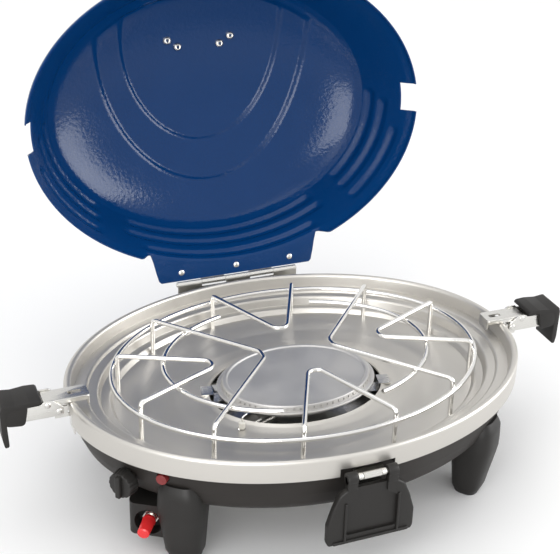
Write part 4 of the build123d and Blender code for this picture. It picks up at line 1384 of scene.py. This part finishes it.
# ---------------------------------------------------------------- side latches
@dataclass
class SideLatch:
    """One toggle latch: bracket, lever with its grip, and claw."""

    side: int
    name: str
    half: float = 11.5 * MM
    plate: float = 1.5 * MM
    gap: float = 0.4 * MM
    claw_reach: float = 19.0 * MM
    claw_rise: float = 1.2 * MM
    grip_half: float = 15.0 * MM
    slot_half: float = 2.6 * MM
    edge: float = 0.35 * MM
    thin_edge: float = 0.3 * MM

    def place(self, mesh: bmesh.types.BMesh) -> bmesh.types.BMesh:
        """Mirrors a mesh to the latch's own side.

        Args:
            mesh: A mesh drawn on +X.

        Returns:
            The same mesh, on its side.
        """
        if self.side < 0:
            mesh.transform(Matrix.Scale(-1, 4, (1, 0, 0)))
            bmesh.ops.reverse_faces(mesh, faces=mesh.faces)
        return mesh

    def node(self, part: str) -> str:
        """Name of one of the latch's nodes."""
        return f"{self.name}_latch_{part}"

    def build_claw(self, pivot: Vector) -> None:
        """The channel-shaped claw with its rounded nose and slot.

        Args:
            pivot: The claw's axis, on +X.
        """
        wide = self.half - self.plate - self.gap
        low = layout.rim_z + self.claw_rise
        top = low + 3.2 * MM + self.plate
        nose, tail = layout.half_length - self.claw_reach, pivot.x + 3.5 * MM
        outline = rounded([(nose, -wide), (tail, -wide), (tail, wide), (nose, wide)], 3.5 * MM, 5, True)
        plate = slab(outline, self.plate, Matrix.Translation((0, 0, top - self.plate / 2)), self.edge)
        start, end, slot_half = nose + 6 * MM, nose + 19 * MM, self.slot_half
        slot = rounded([(start, -slot_half), (end, -slot_half), (end, slot_half), (start, slot_half)],
                       2.5 * MM, 5, closed=True)
        plate = carved(plate, [slab(slot, 6 * MM, Matrix.Translation((0, 0, top)))])
        parts = [plate]
        for y in (-1, 1):
            start, over = nose + 1 * MM, top - 0.4 * MM
            cheek = rounded([(start, low), (tail, low), (tail, over), (start, over)], 1.6 * MM, 4, True)
            where = Matrix.Translation((0, y * (wide - self.plate / 2), 0)) @ SIDE_ON
            parts.append(slab(cheek, self.plate, where, self.thin_edge))
        foot, head = wide - 2 * MM, wide - 0.5 * MM
        under, over = low - 7 * MM, top - 0.6 * MM
        hook = rounded([(-foot, under), (foot, under), (head, over), (-head, over)], 1.5 * MM, 4, True)
        where = Matrix.Translation((nose + self.plate / 2 + 0.3 * MM, 0, 0)) @ END_ON
        parts.append(slab(hook, self.plate, where, 0.4 * MM))
        publish(self.place(merged(parts)), self.node("claw_channel"), ZINC, f"{self.name}_claw",
                [self.node("claw")])

    def build_lever(self, axis: Vector, pivot: Vector) -> None:
        """The lever's two cheeks, web and riveted pin ends.

        Args:
            axis: The lever's axis, on +X.
            pivot: The claw's axis, on +X.
        """
        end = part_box(self.node("lever"))[1 if self.side > 0 else 0].x * self.side
        web = axis.z - 4.5 * MM
        outline = rounded([(axis.x - 4.0 * MM, web), (end, web), (end, pivot.z + 1 * MM),
                           (pivot.x + 6 * MM, pivot.z + 1.6 * MM),
                           (pivot.x + 4 * MM, pivot.z + 4 * MM), (pivot.x - 5 * MM, pivot.z + 4 * MM),
                           (axis.x - 4.0 * MM, axis.z + 4 * MM)], 3.2 * MM, 5, True)
        parts = []
        for y in (-1, 1):
            where = Matrix.Translation((0, y * (self.half - self.plate / 2), 0)) @ SIDE_ON
            parts.append(slab(outline, self.plate, where, self.edge))
            for spot in (axis, pivot):
                head = Vector((spot.x, y * (self.half - 0.2 * MM), spot.z))
                parts.append(rivet(head, Vector((0, y, 0)), 3.0 * MM, 1.1 * MM))
        parts.append(brick((axis.x + 10.5 * MM, -self.half + 0.4 * MM, web + 0.1 * MM),
                           (end - 1 * MM, self.half - 0.4 * MM, web + self.plate), self.thin_edge))
        publish(self.place(merged(parts)), self.node("lever_cheeks"), ZINC, f"{self.name}_lever",
                [self.node("lever"), self.node("claw_pin")])

    def build_grip(self, pivot: Vector) -> None:
        """The dark grip: a hooked plate with a dished top and side cheeks.

        Args:
            pivot: The claw's axis, on +X.
        """
        low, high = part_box(self.node("grip"))
        start = pivot.x + 4.5 * MM
        end = high.x if self.side > 0 else -low.x
        top = high.z
        under = top - 4 * MM
        hook = rounded([(start, under), (start + 2 * MM, top - 0.6 * MM), (start + 12 * MM, top),
                        (end - 14 * MM, top - 1.4 * MM), (end - 2 * MM, top), (end, top - 6 * MM),
                        (end - 0.4 * MM, low.z + 8 * MM), (end - 2 * MM, low.z),
                        (end - 6 * MM, low.z + 1 * MM), (end - 5 * MM, under - 9 * MM),
                        (end - 8 * MM, under - 3 * MM)], 4 * MM, 5, True)
        parts = [slab(hook, 2 * self.grip_half, SIDE_ON, 1.2 * MM)]
        for y in (-1, 1):
            skirt = rounded([(start + 13 * MM, under + 1 * MM), (end - 4 * MM, under + 1 * MM),
                             (end - 4 * MM, low.z + 22 * MM), (start + 17 * MM, low.z + 20 * MM)],
                            5 * MM, 5, True)
            where = Matrix.Translation((0, y * (self.grip_half - 1.4 * MM), 0)) @ SIDE_ON
            parts.append(slab(skirt, 2.6 * MM, where, 0.9 * MM))
        core = self.half - 1.6 * MM
        parts.append(brick((pivot.x + 10 * MM, -core, low.z + 24 * MM),
                           (end - 5 * MM, core, under + 1 * MM), 1 * MM))
        publish(self.place(merged(parts)), self.node("grip_moulding"), PLASTIC_DARK, f"{self.name}_lever",
                [self.node("grip")])

    def build(self) -> None:
        """Builds the latch."""
        axis = Vector(joint(f"{self.name}_lever_pivot")["pos_m"])
        pivot = Vector(joint(f"{self.name}_claw_pivot")["pos_m"])
        axis.x, pivot.x = abs(axis.x), abs(pivot.x)
        self.build_claw(pivot)
        self.build_lever(axis, pivot)
        self.build_grip(pivot)
        carry(ZINC, self.node("bracket"), self.node("pin"))


# ---------------------------------------------------------------- front latch
@dataclass
class FrontLatch:
    """The D-shaped flap on its sprung pin."""

    room: float = 14.0 * MM
    eye: float = 8.5 * MM
    top_half: float = 24.0 * MM
    wide_half: float = 41.5 * MM
    bottom_half: float = 40.0 * MM
    height: float = 66.0 * MM
    thick: float = 7.0 * MM
    back: float = 2.0 * MM
    rib: float = 2.4 * MM
    knuckle: float = 5.5 * MM
    edge: float = 0.8 * MM
    coil_turns: float = 4.5
    coil_radius: float = 2.7 * MM
    coil_wire: float = 0.55 * MM
    coil_steps: int = 90

    def build_flap(self, axis: Vector) -> None:
        """The moulded flap with its recess, ribs and knuckles.

        Args:
            axis: Middle of the flap's pin.
        """
        top, low = axis.z - 9 * MM, axis.z - self.height
        side = [(self.top_half, top), (self.top_half + 7 * MM, axis.z - 14 * MM),
                (self.wide_half - 5 * MM, axis.z - 27 * MM), (self.wide_half, axis.z - 44 * MM),
                (self.wide_half, low + 4 * MM), (self.bottom_half, low)]
        outline = rounded(side + [(-x, z) for x, z in side[::-1]], 9 * MM, 6, True)
        front = axis.y + self.back - self.thick
        middle = axis.y + self.back - self.thick / 2
        face = slab(outline, self.thick, Matrix.Translation((0, middle, 0)) @ SIDE_ON, 1.6 * MM)
        room, wide = self.room, self.top_half
        neck, shoulder, sill = axis.z - 18 * MM, axis.z - 24 * MM, low + 9 * MM
        well = rounded([(-room, axis.z), (room, axis.z), (room, neck), (wide, shoulder), (wide, sill),
                        (-wide, sill), (-wide, shoulder), (-room, neck)], 3 * MM, 4, True)
        cutter = slab(well, 4.4 * MM, Matrix.Translation((0, front, 0)) @ SIDE_ON)
        parts = [carved(face, [cutter])]
        for s in (-1, 1):
            x = sorted((s * (self.room + 0.4 * MM), s * self.top_half))
            parts.append(brick((x[0], front + 0.2 * MM, axis.z - 12 * MM),
                               (x[1], front + self.thick, axis.z), self.edge))
            ends = [Vector((end, axis.y, axis.z)) for end in x]
            parts.append(pin(*ends, self.knuckle, 0.6 * MM))
            rib = sorted((s * self.top_half, s * (self.top_half + self.rib)))
            parts.append(brick((rib[0], front - 1.8 * MM, low + 3 * MM),
                               (rib[1], front + 1 * MM, axis.z - 22 * MM), self.edge))
        lip = self.bottom_half - 4 * MM
        parts.append(brick((-lip, front - 1.6 * MM, low + 1 * MM),
                           (lip, front + 1 * MM, low + 4 * MM), self.edge))
        publish(merged(parts), "front_flap_moulding", PLASTIC_DARK, "front_flap",
                ["front_latch_flap"])

    def build_springs(self, axis: Vector) -> None:
        """Two wound springs on the pin.

        Args:
            axis: Middle of the flap's pin.
        """
        coils = []
        wire, radius = self.coil_wire, self.coil_radius
        for s in (-1, 1):
            start, end = self.eye + wire, self.room - wire - 0.4 * MM
            path = []
            for i in range(self.coil_steps + 1):
                t = i / self.coil_steps
                turn = 2 * math.pi * self.coil_turns * t
                along = s * (start + (end - start) * t)
                path.append(axis + Vector((along, math.cos(turn) * radius, math.sin(turn) * radius)))
            coils.append(tube(path, wire, sides=8))
        publish(merged(coils), "front_springs_wound", ZINC, "base",
                ["front_latch_springs"], sharp=60.0)

    def build(self) -> None:
        """Builds the front latch."""
        axis = Vector(joint("front_flap_pivot")["pos_m"])
        self.build_flap(axis)
        self.build_springs(axis)
        carry(ZINC, "front_latch_bracket", "front_latch_pin")


def main() -> None:
    """Builds the studio and every sub-assembly in order."""
    logging.basicConfig(level=logging.INFO, format="%(message)s")
    Studio().build(Vector((0.0, 0.0, layout.rim_z)))
    Bowl().build()
    Base().build()
    PanSupport().build()
    Burner().build()
    GasControls().build()
    Lid().build()
    for side, name in ((-1, "left"), (1, "right")):
        SideLatch(side, name).build()
    FrontLatch().build()


if __name__ == "__main__":
    main()
